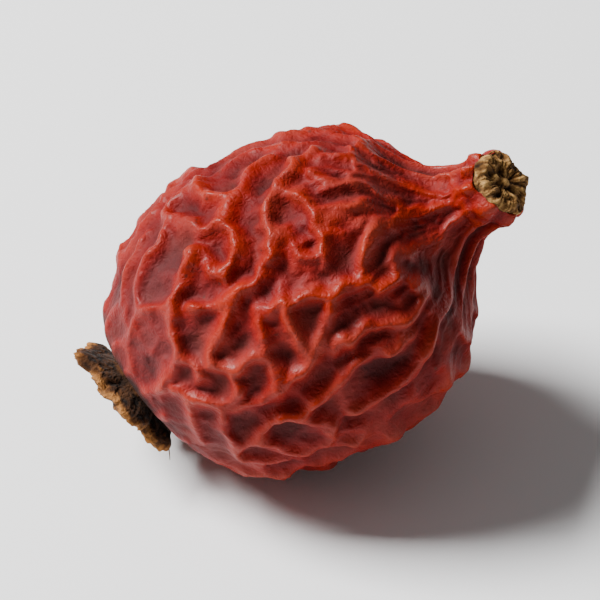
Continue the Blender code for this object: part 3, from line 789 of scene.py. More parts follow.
class RingStack:
    """A closed shape that grows ring by ring along the X axis, in millimetres."""

    def __init__(self, name: str, profile: Profile, steps: int) -> None:
        """Extrudes the whole shape from a circle.

        Args:
            name: The object's name.
            profile: Distance along the axis and radius of each ring, from end to end.
            steps: Points on each ring.
        """
        nothing_selected()
        self.start, self.steps = profile[0], steps
        bpy.ops.mesh.primitive_circle_add(
            vertices=steps,
            radius=profile[0][1],
            fill_type="NOTHING",
            location=(profile[0][0], 0.0, 0.0),
            rotation=(0.0, math.pi / 2, 0.0),
        )
        self.piece = bpy.context.object
        self.piece.name = name
        bpy.ops.object.transform_apply(location=True, rotation=True, scale=True)
        bpy.ops.object.mode_set(mode="EDIT")
        bpy.ops.mesh.select_all(action="SELECT")
        bpy.ops.mesh.extrude_region()
        bpy.ops.mesh.merge(type="CENTER")
        self.close_start()
        for (x, radius), (next_x, next_radius) in zip(profile, profile[1:]):
            self.add_ring(next_x - x, next_x, next_radius / radius)
        bpy.ops.mesh.extrude_region()
        bpy.ops.mesh.merge(type="CENTER")
        bpy.ops.object.mode_set(mode="OBJECT")
        outward(self.piece)

    def close_start(self) -> None:
        """Selects the first ring again once a fan closes it."""
        bpy.ops.mesh.select_all(action="DESELECT")
        bpy.ops.object.mode_set(mode="OBJECT")
        for vertex in self.piece.data.vertices:
            vertex.select = math.hypot(vertex.co.y, vertex.co.z) > 0.5 * self.start[1]
        bpy.ops.object.mode_set(mode="EDIT")
        bpy.ops.mesh.select_mode(type="VERT")

    def add_ring(self, step: float, middle: float, share: float) -> None:
        """Extrudes the selected ring and scales it about the axis.

        Args:
            step: How far along the axis the new ring is.
            middle: The new ring's place on the axis.
            share: Its radius as a share of the last one.
        """
        bpy.ops.mesh.extrude_region_move(TRANSFORM_OT_translate={"value": (step, 0.0, 0.0)})
        bpy.ops.transform.resize(value=(1.0, share, share), center_override=(middle, 0.0, 0.0))


class NodeSheet:
    """Places and wires the nodes of one material or node group."""

    def __init__(self, tree: NodeTree) -> None:
        """Keeps the tree that the nodes are placed in."""
        self.tree = tree

    def wire(self, value: object, socket: Socket) -> None:
        """Links a socket to another, or sets its value.

        Args:
            value: A socket to link from, or a number or colour.
            socket: The input that it feeds.
        """
        if isinstance(value, bpy.types.NodeSocket):
            self.tree.links.new(value, socket)
        elif value is not None:
            socket.default_value = value

    def node(self, kind: str, inputs: dict[str | int, object] | None = None, **settings: object) -> Node:
        """Places a node.

        Args:
            kind: The node's type.
            inputs: Values or sockets for its inputs, by name or number.
            **settings: Its other properties.

        Returns:
            The node.
        """
        node = self.tree.nodes.new(kind)
        for key, value in settings.items():
            setattr(node, key, value)
        for key, value in (inputs or {}).items():
            self.wire(value, node.inputs[key])
        return node

    def maths(self, operation: str, a: object, b: object = 0.0) -> Socket:
        """The result of a Math node, held between 0 and 1."""
        return self.node("ShaderNodeMath", {0: a, 1: b}, operation=operation, use_clamp=True).outputs[0]

    def signed(self, operation: str, a: object, b: object) -> Socket:
        """The result of a Math node, as it comes."""
        return self.node("ShaderNodeMath", {0: a, 1: b}, operation=operation).outputs[0]

    def noise(self, vector: object, scale: object, detail: float = 3.0, rough: float = 0.55) -> Socket:
        """The strength of a noise of so many bumps to the metre."""
        inputs = {"Vector": vector, "Scale": scale, "Detail": detail, "Roughness": rough}
        return self.node("ShaderNodeTexNoise", inputs).outputs["Fac"]

    def cells(self, vector: object, scale: object, feature: str = "F1") -> Socket:
        """The distance in a pattern of cells, so many to the metre."""
        cells = self.node("ShaderNodeTexVoronoi", {"Vector": vector, "Scale": scale}, feature=feature)
        return cells.outputs["Distance"]

    def between(self, value: object, low: float, high: float) -> Socket:
        """Smooth step of a value between two others."""
        inputs = {"Value": value, "From Min": low, "From Max": high}
        return self.node("ShaderNodeMapRange", inputs, interpolation_type="SMOOTHSTEP").outputs["Result"]

    def mix(self, share: object, a: object, b: object, blend: Blend = Blend.MIX) -> Socket:
        """One colour laid over another.

        Args:
            share: How much of the upper colour shows.
            a: The lower colour.
            b: The upper colour.
            blend: How it is laid on.

        Returns:
            The colour's socket.
        """
        node = self.node("ShaderNodeMix", {0: share, 6: a, 7: b}, data_type="RGBA", blend_type=blend.value)
        return node.outputs[2]

    def ramp(self, value: object, stops: Sequence[tuple[float, Colour]]) -> Socket:
        """A colour for each height of a value.

        Args:
            value: The socket with the value.
            stops: Place from 0 to 1 and colour of each stop.

        Returns:
            The colour's socket.
        """
        node = self.node("ShaderNodeValToRGB", {"Fac": value})
        for number, (place, colour) in enumerate(stops):
            mark = node.color_ramp.elements[number] if number < 2 else node.color_ramp.elements.new(place)
            mark.position = place
            mark.color = opaque(colour)
        return node.outputs["Color"]

    def kept(self, name: str) -> Socket:
        """The number that the piece keeps for each vertex under this name."""
        return self.node("ShaderNodeAttribute", attribute_name=name).outputs["Fac"]

    def bump(self, height: object, size: tuple[float, float], normal: object = None) -> Socket:
        """The normal of a rough surface.

        Args:
            height: The height of the surface, 0 to 1.
            size: Its strength, and its full height in metres.
            normal: The normal that it lies over.

        Returns:
            The normal's socket.
        """
        inputs = {"Strength": size[0], "Distance": size[1], "Height": height}
        node = self.node("ShaderNodeBump", inputs)
        if normal is not None:
            self.wire(normal, node.inputs["Normal"])
        return node.outputs["Normal"]


def node_group(name: str, number: str, outputs: Sequence[str]) -> tuple[NodeSheet, Node, Node]:
    """A new shader node group with a vector input, a number input and number outputs.

    Args:
        name: The group's name.
        number: The name of its number input.
        outputs: The names of its outputs.

    Returns:
        The sheet of its tree, its input node and its output node.
    """
    tree = bpy.data.node_groups.new(name, "ShaderNodeTree")
    tree.interface.new_socket("Vector", in_out="INPUT", socket_type="NodeSocketVector")
    tree.interface.new_socket(number, in_out="INPUT", socket_type="NodeSocketFloat")
    for key in outputs:
        tree.interface.new_socket(key, in_out="OUTPUT", socket_type="NodeSocketFloat")
    sheet = NodeSheet(tree)
    return sheet, sheet.node("NodeGroupInput"), sheet.node("NodeGroupOutput")


def leather_grain() -> NodeTree:
    """The group for the fine crinkles of dried plant skin: their height, and a mottle with them.

    Returns:
        The group.
    """
    bend, crack, mottle = 0.0004, (0.0, 0.35), (0.3, 0.7)
    sheet, ends_in, ends_out = node_group("leather_grain", "Fineness", ("Height", "Mottle"))
    vector, fineness = ends_in.outputs["Vector"], ends_in.outputs["Fineness"]
    warp = sheet.node("ShaderNodeTexNoise", {"Vector": vector, "Scale": fineness, "Detail": 2.0})
    inputs = {0: warp.outputs["Color"], 1: (bend, bend, bend)}
    bent = sheet.node("ShaderNodeVectorMath", inputs, operation="MULTIPLY")
    place = sheet.node("ShaderNodeVectorMath", {0: vector, 1: bent.outputs[0]}, operation="ADD")
    crackle = sheet.cells(place.outputs[0], fineness, "DISTANCE_TO_EDGE")
    fine = sheet.noise(vector, fineness, 5.0, 0.6)
    height = sheet.signed("ADD", sheet.between(crackle, *crack), fine)
    sheet.wire(height, ends_out.inputs["Height"])
    sheet.wire(sheet.between(fine, *mottle), ends_out.inputs["Mottle"])
    return sheet.tree


def dust_film() -> NodeTree:
    """The group for pale dust and bloom: where it lies, and the specks in it.

    Returns:
        The group.
    """
    patch_scale, speck_scale, rare_scale = 420.0, 1500.0, 700.0
    patch, speck_edge, rare_patch = (0.42, 0.72), (0.06, 0.16), (0.52, 0.6)
    sheet, ends_in, ends_out = node_group("dust_film", "Amount", ("Film", "Specks"))
    vector, amount = ends_in.outputs["Vector"], ends_in.outputs["Amount"]
    patches = sheet.between(sheet.noise(vector, patch_scale, 4.0, 0.6), *patch)
    sheet.wire(sheet.maths("MULTIPLY", patches, amount), ends_out.inputs["Film"])
    speck = sheet.maths("SUBTRACT", 1.0, sheet.between(sheet.cells(vector, speck_scale), *speck_edge))
    rare = sheet.between(sheet.noise(vector, rare_scale, 1.0), *rare_patch)
    sheet.wire(sheet.maths("MULTIPLY", speck, rare), ends_out.inputs["Specks"])
    return sheet.tree


def dry_fibres() -> NodeTree:
    """The group for the fibres of dry stalk and calyx: their height, and the dark between them.

    Returns:
        The group.
    """
    raised = (0.35, 0.62)
    sheet, ends_in, ends_out = node_group("dry_fibres", "Fineness", ("Height", "Dark"))
    inputs = {"Vector": ends_in.outputs["Vector"], "Scale": ends_in.outputs["Fineness"]}
    coarse = sheet.node("ShaderNodeTexNoise", inputs | {"Detail": 4.0, "Distortion": 0.6})
    ridge = sheet.between(coarse.outputs["Fac"], *raised)
    sheet.wire(ridge, ends_out.inputs["Height"])
    sheet.wire(sheet.maths("SUBTRACT", 1.0, ridge), ends_out.inputs["Dark"])
    return sheet.tree


class Effects:
    """The shader node groups that the finishes share, each built once."""

    def __init__(self) -> None:
        """Builds the groups."""
        self.grain, self.dust, self.fibres = leather_grain(), dust_film(), dry_fibres()

    def placed(self, sheet: NodeSheet, group: NodeTree, **values: object) -> Node:
        """Places one of the groups in a material, with its own values.

        Args:
            sheet: The material's nodes.
            group: The group.
            **values: Values or sockets for its inputs.

        Returns:
            Its node.
        """
        node = sheet.node("ShaderNodeGroup", node_tree=group)
        for key, value in values.items():
            sheet.wire(value, node.inputs[key])
        return node


def new_material(name: str) -> tuple[bpy.types.Material, NodeSheet, Node]:
    """Starts a new material.

    Args:
        name: The material's name.

    Returns:
        The material, its sheet of nodes and its Principled shader.
    """
    material = bpy.data.materials.new(name)
    material.use_nodes = True
    surface = material.node_tree.nodes["Principled BSDF"]
    return material, NodeSheet(material.node_tree), surface


def opaque(colour: Colour) -> tuple[float, float, float, float]:
    """A colour with its fourth number, for a colour socket."""
    return (*colour, 1.0)


def set_sockets(surface: Node, **values: object) -> None:
    """Sets the shader's own sockets; an underscore stands for a space in their names."""
    for key, value in values.items():
        surface.inputs[key.replace("_", " ")].default_value = value


@dataclass(frozen=True)
class SkinFinish:
    """Waxy, dried fruit skin: red on the folds, dark maroon and slightly milky in the hollows.

    The hollows are dark partly from the skin's own maroon and partly from painted shade, and the
    milky film is partly waxy bloom and partly painted sheen. Colours are as light leaves them,
    scales are bumps to the metre, and each bump is its strength and its height in metres.
    """

    effects: Effects
    # From hollow to crest: hollow and flank are dark partly as the skin's maroon, partly as painted shade.
    hollow: Colour = (0.050, 0.003, 0.0035)
    flank: Colour = (0.13, 0.0035, 0.0038)
    fold: Colour = (0.225, 0.0055, 0.0028)
    crest: Colour = (0.30, 0.0175, 0.0022)
    heights: tuple[float, ...] = (0.04, 0.26, 0.50, 0.95)
    blotch_scale: float = 520.0
    blotch_swing: float = 0.75
    deep_tint: Colour = (0.55, 0.22, 0.24)
    deep_scale: float = 150.0
    deep_patch: tuple[float, float] = (0.42, 0.66)
    deep_share: float = 0.45
    # A milky film in the hollows: partly waxy bloom, partly painted sheen.
    bloom_and_sheen: Colour = (0.15, 0.030, 0.030)
    bloom_and_sheen_scale: float = 330.0
    bloom_and_sheen_patch: tuple[float, float] = (0.40, 0.64)
    bloom_and_sheen_hollow: tuple[float, float] = (0.1, 0.6)
    bloom_and_sheen_floor: float = 0.05
    bloom_and_sheen_near_calyx: float = 0.5
    bloom_and_sheen_veil: float = 0.05
    # Painted shade: near-black brown where the skin meets the calyx.
    calyx_join_shade: Colour = (0.014, 0.007, 0.005)
    calyx_join_shade_share: float = 0.9
    mottle_tint: Colour = (0.62, 0.42, 0.40)
    mottle_share: float = 0.22
    dust: Colour = (0.26, 0.06, 0.045)
    dust_share: float = 0.22
    speck: Colour = (0.06, 0.015, 0.01)
    speck_share: float = 0.6
    rough: tuple[float, float] = (0.74, 0.42)
    dusty_rough: float = 0.6
    gloss: float = 0.085
    gloss_between: tuple[float, float] = (0.2, 0.9)
    grain_scale: float = 3600.0
    grain_bump: tuple[float, float] = (0.34, 0.00006)
    fine_scale: float = 9000.0
    fine_bump: tuple[float, float] = (0.25, 0.00003)
    red_depth: Colour = (1.0, 0.25, 0.15)

    def bloom_and_sheen_share(self, sheet: NodeSheet, place: Socket) -> Socket:
        """How much milky film shows, part bloom and part painted sheen, most in the hollows near the calyx.

        Args:
            sheet: The material's nodes.
            place: The Object coordinates.

        Returns:
            The share's socket.
        """
        hollow = sheet.maths("SUBTRACT", 1.0, sheet.between(sheet.kept("ridge"), *self.bloom_and_sheen_hollow))
        patches = sheet.between(sheet.noise(place, self.bloom_and_sheen_scale), *self.bloom_and_sheen_patch)
        bloom = sheet.kept("bloom")
        share = sheet.maths("ADD", self.bloom_and_sheen_floor, sheet.maths("MULTIPLY", bloom, self.bloom_and_sheen_near_calyx))
        bloom_and_sheen_share = sheet.maths("MULTIPLY", sheet.maths("MULTIPLY", hollow, patches), share)
        return sheet.maths("ADD", bloom_and_sheen_share, sheet.maths("MULTIPLY", bloom, self.bloom_and_sheen_veil))

    def colour(self, sheet: NodeSheet, place: Socket) -> Socket:
        """The skin's colour, dark in the hollows partly as painted shade.

        Args:
            sheet: The material's nodes.
            place: The Object coordinates.

        Returns:
            The colour's socket.
        """
        blotch = sheet.noise(place, self.blotch_scale, 4.0, 0.6)
        uneven = sheet.signed("MULTIPLY", sheet.signed("SUBTRACT", blotch, 0.5), self.blotch_swing)
        height = sheet.maths("ADD", sheet.kept("ridge"), uneven)
        colours = (self.hollow, self.flank, self.fold, self.crest)
        # Darker towards the hollows: partly the skin's own maroon, partly painted shade.
        colour = sheet.ramp(height, tuple(zip(self.heights, colours)))
        deep = sheet.between(sheet.noise(place, self.deep_scale, 2.0), *self.deep_patch)
        share = sheet.maths("MULTIPLY", deep, self.deep_share)
        colour = sheet.mix(share, colour, opaque(self.deep_tint), Blend.MULTIPLY)
        # Lays on the milky film: partly bloom, partly painted sheen.
        colour = sheet.mix(self.bloom_and_sheen_share(sheet, place), colour, opaque(self.bloom_and_sheen))
        # Painted shade where the skin meets the calyx and inside its socket.
        dry = sheet.maths("MULTIPLY", sheet.kept("calyx_join_shade"), self.calyx_join_shade_share)
        return sheet.mix(dry, colour, opaque(self.calyx_join_shade))

    def material(self) -> bpy.types.Material:
        """Wires the whole finish.

        Returns:
            The material.
        """
        material, sheet, surface = new_material("fruit_skin")
        place = sheet.node("ShaderNodeTexCoord").outputs["Object"]
        ridge = sheet.kept("ridge")
        grain = self.effects.placed(sheet, self.effects.grain, Vector=place, Fineness=self.grain_scale)
        dust = self.effects.placed(sheet, self.effects.dust, Vector=place, Amount=self.dust_share)
        shade = sheet.maths("MULTIPLY", grain.outputs["Mottle"], self.mottle_share)
        colour = sheet.mix(shade, self.colour(sheet, place), opaque(self.mottle_tint), Blend.MULTIPLY)
        colour = sheet.mix(dust.outputs["Film"], colour, opaque(self.dust))
        specks = sheet.maths("MULTIPLY", dust.outputs["Specks"], self.speck_share)
        sheet.wire(sheet.mix(specks, colour, opaque(self.speck)), surface.inputs["Base Color"])
        inputs = {"Value": ridge, "To Min": self.rough[0], "To Max": self.rough[1]}
        rough = sheet.node("ShaderNodeMapRange", inputs).outputs["Result"]
        dull = sheet.maths("MULTIPLY", dust.outputs["Film"], self.dusty_rough)
        sheet.wire(sheet.maths("ADD", rough, dull), surface.inputs["Roughness"])
        gloss = sheet.maths("MULTIPLY", sheet.between(ridge, *self.gloss_between), self.gloss)
        sheet.wire(gloss, surface.inputs["Coat Weight"])
        fine = sheet.bump(sheet.noise(place, self.fine_scale, 4.0, 0.65), self.fine_bump)
        sheet.wire(sheet.bump(grain.outputs["Height"], self.grain_bump, fine), surface.inputs["Normal"])
        set_sockets(
            surface,
            Subsurface_Weight=0.04,
            Subsurface_Radius=self.red_depth,
            Subsurface_Scale=0.0006,
            Coat_Roughness=0.18,
            Specular_IOR_Level=0.15,
        )
        return material


@dataclass(frozen=True)
class FibreFinish:
    """Dry, fibrous plant matter: tan where it is worn, dark brown in its depths."""

    effects: Effects
    name: str
    dark: Colour
    middle: Colour
    pale: Colour
    fineness: float = 2400.0
    heights: tuple[float, float, float] = (0.10, 0.50, 1.0)
    worn_share: float = 0.8
    fibre_share: float = 0.3
    mottle_tint: Colour = (0.55, 0.45, 0.38)
    mottle_share: float = 0.4
    dust: Colour = (0.36, 0.19, 0.075)
    dust_share: float = 0.25
    rough: tuple[float, float] = (0.75, 0.15)
    grain_share: float = 1.6
    grain_bump: tuple[float, float] = (0.5, 0.00005)
    fibre_bump: tuple[float, float] = (0.7, 0.00008)

    def material(self) -> bpy.types.Material:
        """Wires the whole finish.

        Returns:
            The material.
        """
        material, sheet, surface = new_material(self.name)
        place = sheet.node("ShaderNodeTexCoord").outputs["Object"]
        effects, fine = self.effects, self.fineness * self.grain_share
        fibres = effects.placed(sheet, effects.fibres, Vector=place, Fineness=self.fineness)
        dust = effects.placed(sheet, effects.dust, Vector=place, Amount=self.dust_share)
        grain = effects.placed(sheet, effects.grain, Vector=place, Fineness=fine)
        worn = sheet.kept("worn")
        raised = sheet.maths("MULTIPLY", fibres.outputs["Height"], self.fibre_share)
        height = sheet.maths("ADD", sheet.maths("MULTIPLY", worn, self.worn_share), raised)
        colour = sheet.ramp(height, tuple(zip(self.heights, (self.dark, self.middle, self.pale))))
        shade = sheet.maths("MULTIPLY", grain.outputs["Mottle"], self.mottle_share)
        colour = sheet.mix(shade, colour, opaque(self.mottle_tint), Blend.MULTIPLY)
        dusty = sheet.maths("MULTIPLY", dust.outputs["Film"], worn)
        sheet.wire(sheet.mix(dusty, colour, opaque(self.dust)), surface.inputs["Base Color"])
        dull = sheet.maths("MULTIPLY", fibres.outputs["Dark"], self.rough[1])
        sheet.wire(sheet.maths("ADD", self.rough[0], dull), surface.inputs["Roughness"])
        under = sheet.bump(grain.outputs["Height"], self.grain_bump)
        sheet.wire(sheet.bump(fibres.outputs["Height"], self.fibre_bump, under), surface.inputs["Normal"])
        set_sockets(surface, Sheen_Weight=0.03, Sheen_Roughness=0.6, Specular_IOR_Level=0.12)
        return material


@dataclass
class HipSkin:
    """The body of the fruit: one folded skin from calyx to neck, closed by a socket at each end.

    Sockets are radii, and neck_lip gives the rings of the lip as distance past the neck's end
    and width past its socket. Depths and widths are in millimetres, and shares of a fold's
    height are from 0 to 1. A fade or a pair named between is where a share rises from 0 to 1.
    """

    fruit: Fruit
    lines: FoldLines
    rules: FoldRules
    rows: int = 226
    columns: int = 416
    merge_distance: float = 1e-3
    end_tolerance: float = 1e-4
    socket_depth: float = 0.55
    calyx_socket: float = 1.72
    calyx_lip: float = 0.1
    neck_socket: float = 1.15
    neck_lip: Profile = (
        (0.12, 0.48), (0.26, 0.44), (0.38, 0.37), (0.46, 0.27), (0.48, 0.16), (0.43, 0.07),
        (0.25, 0.02), (-0.05, 0.01),
    )
    lip_lobes: Waves = ((2, 2.4, 0.10), (3, 2.2, 0.08), (5, 0.4, 0.07), (8, 1.0, 0.05), (13, 0.2, 0.03))
    lip_folds: int = 9
    lip_heights: tuple[float, float] = (0.62, 0.28)
    lip_sway: float = 1.5
    lip_run: float = 0.5
    lip_depth: float = 0.35
    lip_full: float = 0.9
    fade: float = 0.3
    socket_fade: tuple[float, float] = (0.1, 0.4)
    grown_middle: float = 0.35
    grown_width: float = 0.5
    calm_share: float = 0.55
    calm_between: tuple[float, float] = (-0.2, 1.2)
    pinched_share: float = 0.78
    extra_depth: float = 1.05
    crinkle_depth: float = 0.085
    crinkle_spacing: float = 0.62
    crinkle_width: float = 0.13
    crinkled: Patches = Patches(0.4, 0.65, 1.9, 0.1)
    worn_off: float = 0.35
    fine_pleats: int = 40
    pleat_height: float = 1.7
    pleat_sway: tuple[float, float] = (3.2, 2.6)
    pleated: Between = (9.0, 11.5, 14.0, 15.4)
    bloom_and_sheen_fade: tuple[float, float] = (2.0, 8.5)
    ragged: Waves = ((5, -1.57, 0.10), (11, -0.57, 0.07))
    calyx_join_shade_fade: tuple[float, float] = (0.05, 0.4)
    offset: Array | None = None

    def relief(self) -> tuple[Array, FoldNet]:
        """Lets the folds grow and draws them on the fine grid.

        Returns:
            Their height, 0 in a hollow to 1 on a crest, and the net that they come from.
        """
        coarse = FoldNet(self.fruit, self.lines, self.rules, self.rules.rows, self.rules.columns)
        height = finer_grid(coarse.buckle(), self.rows, self.columns)
        net = PinchedNet(self.fruit, self.lines, self.rules, self.rows, self.columns)
        grown = 0.5 * (1 + np.tanh((height - self.grown_middle) / self.grown_width))
        grown *= 1 - net.guided * self.calm_share * (1 - rise(height, *self.calm_between))
        sharp = self.pinched_share * net.guided
        return softened(grown * (1 - sharp) + net.crest * sharp), net

    def crinkles(self, net: FoldNet) -> Array:
        """Draws the smallest creases and the fine pleats by the neck.

        Args:
            net: The net of the folds.

        Returns:
            1 on their edges, falling to 0 between them.
        """
        borders = net.from_cell_borders(self.crinkle_spacing)
        creases = np.exp(-borders / self.crinkle_width) * self.crinkled.over(net.places(), net.random)
        sway, length = self.pleat_sway
        pleats = np.cos(self.fine_pleats * net.angle + sway * ripple(net.places(), length, net.random))
        drawn = within(net.along, self.pleated)[:, None]
        return np.maximum(creases, drawn * self.pleat_height * (0.5 + 0.5 * pleats) ** 2)

    def rolled(self) -> Shape:
        """A fine grid rolled into a tube along X, with its ends turned in and closed.

        Returns:
            The closed tube, with each ring at its place along the axis and at its radius.
        """
        nothing_selected()
        bpy.ops.mesh.primitive_grid_add(x_subdivisions=self.rows - 1, y_subdivisions=self.columns, size=2.0)
        piece = bpy.context.object
        piece.name = "hip_skin"
        flat = np.empty(len(piece.data.vertices) * 3)
        piece.data.vertices.foreach_get("co", flat)
        flat = flat.reshape(-1, 3)
        along, radius, _ = self.fruit.meridian(self.rows)
        row = (flat[:, 0] + 1) / 2 * (self.rows - 1)
        turn = math.pi * flat[:, 1]
        wide = np.interp(row, np.arange(self.rows), radius)
        tube = [np.interp(row, np.arange(self.rows), along), -wide * np.sin(turn), wide * np.cos(turn)]
        piece.data.vertices.foreach_set("co", np.stack(tube, axis=1).ravel())
        bpy.ops.object.mode_set(mode="EDIT")
        bpy.ops.mesh.select_all(action="SELECT")
        bpy.ops.mesh.remove_doubles(threshold=self.merge_distance)
        calyx_end, neck_end = self.fruit.calyx_end, self.fruit.neck_end
        calyx_rings = [(0.0, self.calyx_socket + self.calyx_lip), (self.socket_depth, self.calyx_socket)]
        neck_rings = [(out, self.neck_socket + wide) for out, wide in self.neck_lip]
        neck_rings.append((-self.socket_depth, self.neck_socket))
        self.turned_in(piece, calyx_end, float(radius[0]), calyx_rings)
        self.turned_in(piece, neck_end, float(radius[-1]), neck_rings)
        bpy.ops.object.mode_set(mode="OBJECT")
        outward(piece)
        return piece

    def turned_in(self, piece: Shape, end: float, radius: float, rings: Profile) -> None:
        """Extrudes an open end of the tube into its socket and closes the socket's floor.

        Args:
            piece: The tube, in edit mode.
            end: Where the open end is.
            radius: The radius of the open end.
            rings: Distance from the end and radius of each further ring.
        """
        bpy.ops.mesh.select_all(action="DESELECT")
        bpy.ops.object.mode_set(mode="OBJECT")
        for vertex in piece.data.vertices:
            vertex.select = abs(vertex.co.x - end) < self.end_tolerance
        bpy.ops.object.mode_set(mode="EDIT")
        bpy.ops.mesh.select_mode(type="VERT")
        here, wide = 0.0, radius
        for out, next_wide in rings:
            bpy.ops.mesh.extrude_region_move(TRANSFORM_OT_translate={"value": (out - here, 0.0, 0.0)})
            share = next_wide / wide
            bpy.ops.transform.resize(value=(1.0, share, share), center_override=(end + out, 0.0, 0.0))
            here, wide = out, next_wide
        bpy.ops.mesh.extrude_region()
        bpy.ops.mesh.merge(type="CENTER")

    def free_skin(self, along: Array, radius: Array, outside: Array) -> Array:
        """Where the skin is free to sink.

        Args:
            along: Distances from the calyx.
            radius: Distances from the axis.
            outside: Where the skin would lie if it hadn't sunk.

        Returns:
            1 on free skin, 0 on the resting spot and in the sockets.
        """
        floor, lowest = self.fruit.resting_plane()
        beside = rise(np.hypot(*(outside - lowest)[:, :2].T), *self.fruit.rest_fade)
        free = np.maximum(beside, rise(outside[:, 2] - floor, *self.fruit.rest_height))
        socket = np.where(along < self.fruit.length / 2, self.calyx_socket, self.neck_socket)
        return free * rise(radius - socket, *self.socket_fade)

    def sunk(self, along: Array, ridge: Array, fine: Array) -> Array:
        """How far the skin sinks below its crests, in millimetres.

        Args:
            along: Distances from the calyx.
            ridge: The height of the folds, 0 to 1.
            fine: The height of the creases, 0 to 1.

        Returns:
            The depth at each place.
        """
        share = np.interp(along, *zip(*self.rules.shares))
        drop = self.extra_depth * self.rules.depth * share * (1 - ridge)
        return drop + self.crinkle_depth * (1 - fine) * (1 - self.worn_off * ridge)

    def build(self, effects: Effects) -> Shape:
        """Makes the skin, sinks it between its folds, lays it down and dresses it.

        Args:
            effects: The shared shader groups.

        Returns:
            The finished piece.
        """
        relief, net = self.relief()
        crinkles = self.crinkles(net)
        piece = self.rolled()
        along, angle, radius = axis_coordinates(piece)
        row = np.interp(along, net.along, np.arange(self.rows))
        ridge, fine = value_at(relief, row, angle), value_at(crinkles, row, angle)
        on_lip = rise(along, self.fruit.neck_end - self.lip_run, self.fruit.neck_end)
        ridge = ridge * (1 - on_lip) + on_lip * self.lip_ridge(angle)
        outer = radius * (1 + self.fruit.uneven_share(along, angle))
        along = along + self.lip_lift(along, angle)
        drop = self.sunk(along, ridge, fine)
        drop *= self.free_skin(along, radius, self.fruit.laid_down(along, angle, outer))
        on_lip = on_lip * rise(radius, self.neck_socket, self.neck_socket + self.fade)
        drop += self.lip_depth * on_lip * (self.lip_full - ridge)
        self.lay_down(piece, self.fruit.laid_down(along, angle, outer - drop))
        put_values(piece, "ridge", ridge)
        # Where the painted shade at the calyx join lies.
        put_values(piece, "calyx_join_shade", self.calyx_join_shade_mask(along, angle, radius))
        # Near the calyx, more of the milky film of bloom and painted sheen.
        put_values(piece, "bloom", 1 - rise(along, *self.bloom_and_sheen_fade))
        piece.data.materials.append(SkinFinish(effects).material())
        piece.data.shade_smooth()
        return piece

    def lay_down(self, piece: Shape, points: Array) -> None:
        """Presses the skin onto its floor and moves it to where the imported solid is.

        Args:
            piece: The skin.
            points: Where its vertices are on the fruit, in millimetres.
        """
        floor, _ = self.fruit.resting_plane()
        points[:, 2] = np.maximum(points[:, 2], floor)
        low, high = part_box(Piece.HIP.value)
        target = (low + high) / 2 / MM
        middle = (points.min(axis=0) + points.max(axis=0)) / 2
        self.offset = np.array([target.x - middle[0], target.y - middle[1], -floor])
        put_points(piece, points + self.offset)

    def lip_ridge(self, angle: Array) -> Array:
        """The height of the folds that run over the neck's lip."""
        level, swing = self.lip_heights
        return level + swing * np.cos(self.lip_folds * angle + self.lip_sway * np.sin(2 * angle))

    def lip_lift(self, along: Array, angle: Array) -> Array:
        """How far the lobes of the neck's lip stand out along the axis."""
        end = self.fruit.neck_end
        return rise(along, end - self.fade, end + self.fade) * waves_round(angle, self.lip_lobes)

    def calyx_join_shade_mask(self, along: Array, angle: Array, radius: Array) -> Array:
        """Marks where the skin is painted dark brown as shade where it tucks under the calyx.

        Args:
            along: Distances from the calyx.
            angle: Angles round the axis, in radians.
            radius: Distances from the axis.

        Returns:
            1 inside the calyx's socket and round its ragged edge, 0 elsewhere.
        """
        low, high = self.calyx_join_shade_fade
        end, ragged = self.fruit.calyx_end, waves_round(angle, self.ragged)
        edge = 1 - rise(along + ragged, end + low, end + high)
        in_socket = radius <= self.calyx_socket - self.calyx_lip
        return np.where(in_socket, along < self.fruit.length / 2, edge)


def worn_piece(piece: Shape, worn: Array, finish: FibreFinish) -> Shape:
    """Finishes a dry piece.

    Args:
        piece: The piece.
        worn: How worn and pale it is at each vertex, 0 to 1.
        finish: Its finish.

    Returns:
        The same piece.
    """
    put_values(piece, "worn", np.clip(worn, 0.0, 1.0))
    piece.data.materials.append(finish.material())
    piece.data.shade_smooth()
    return piece


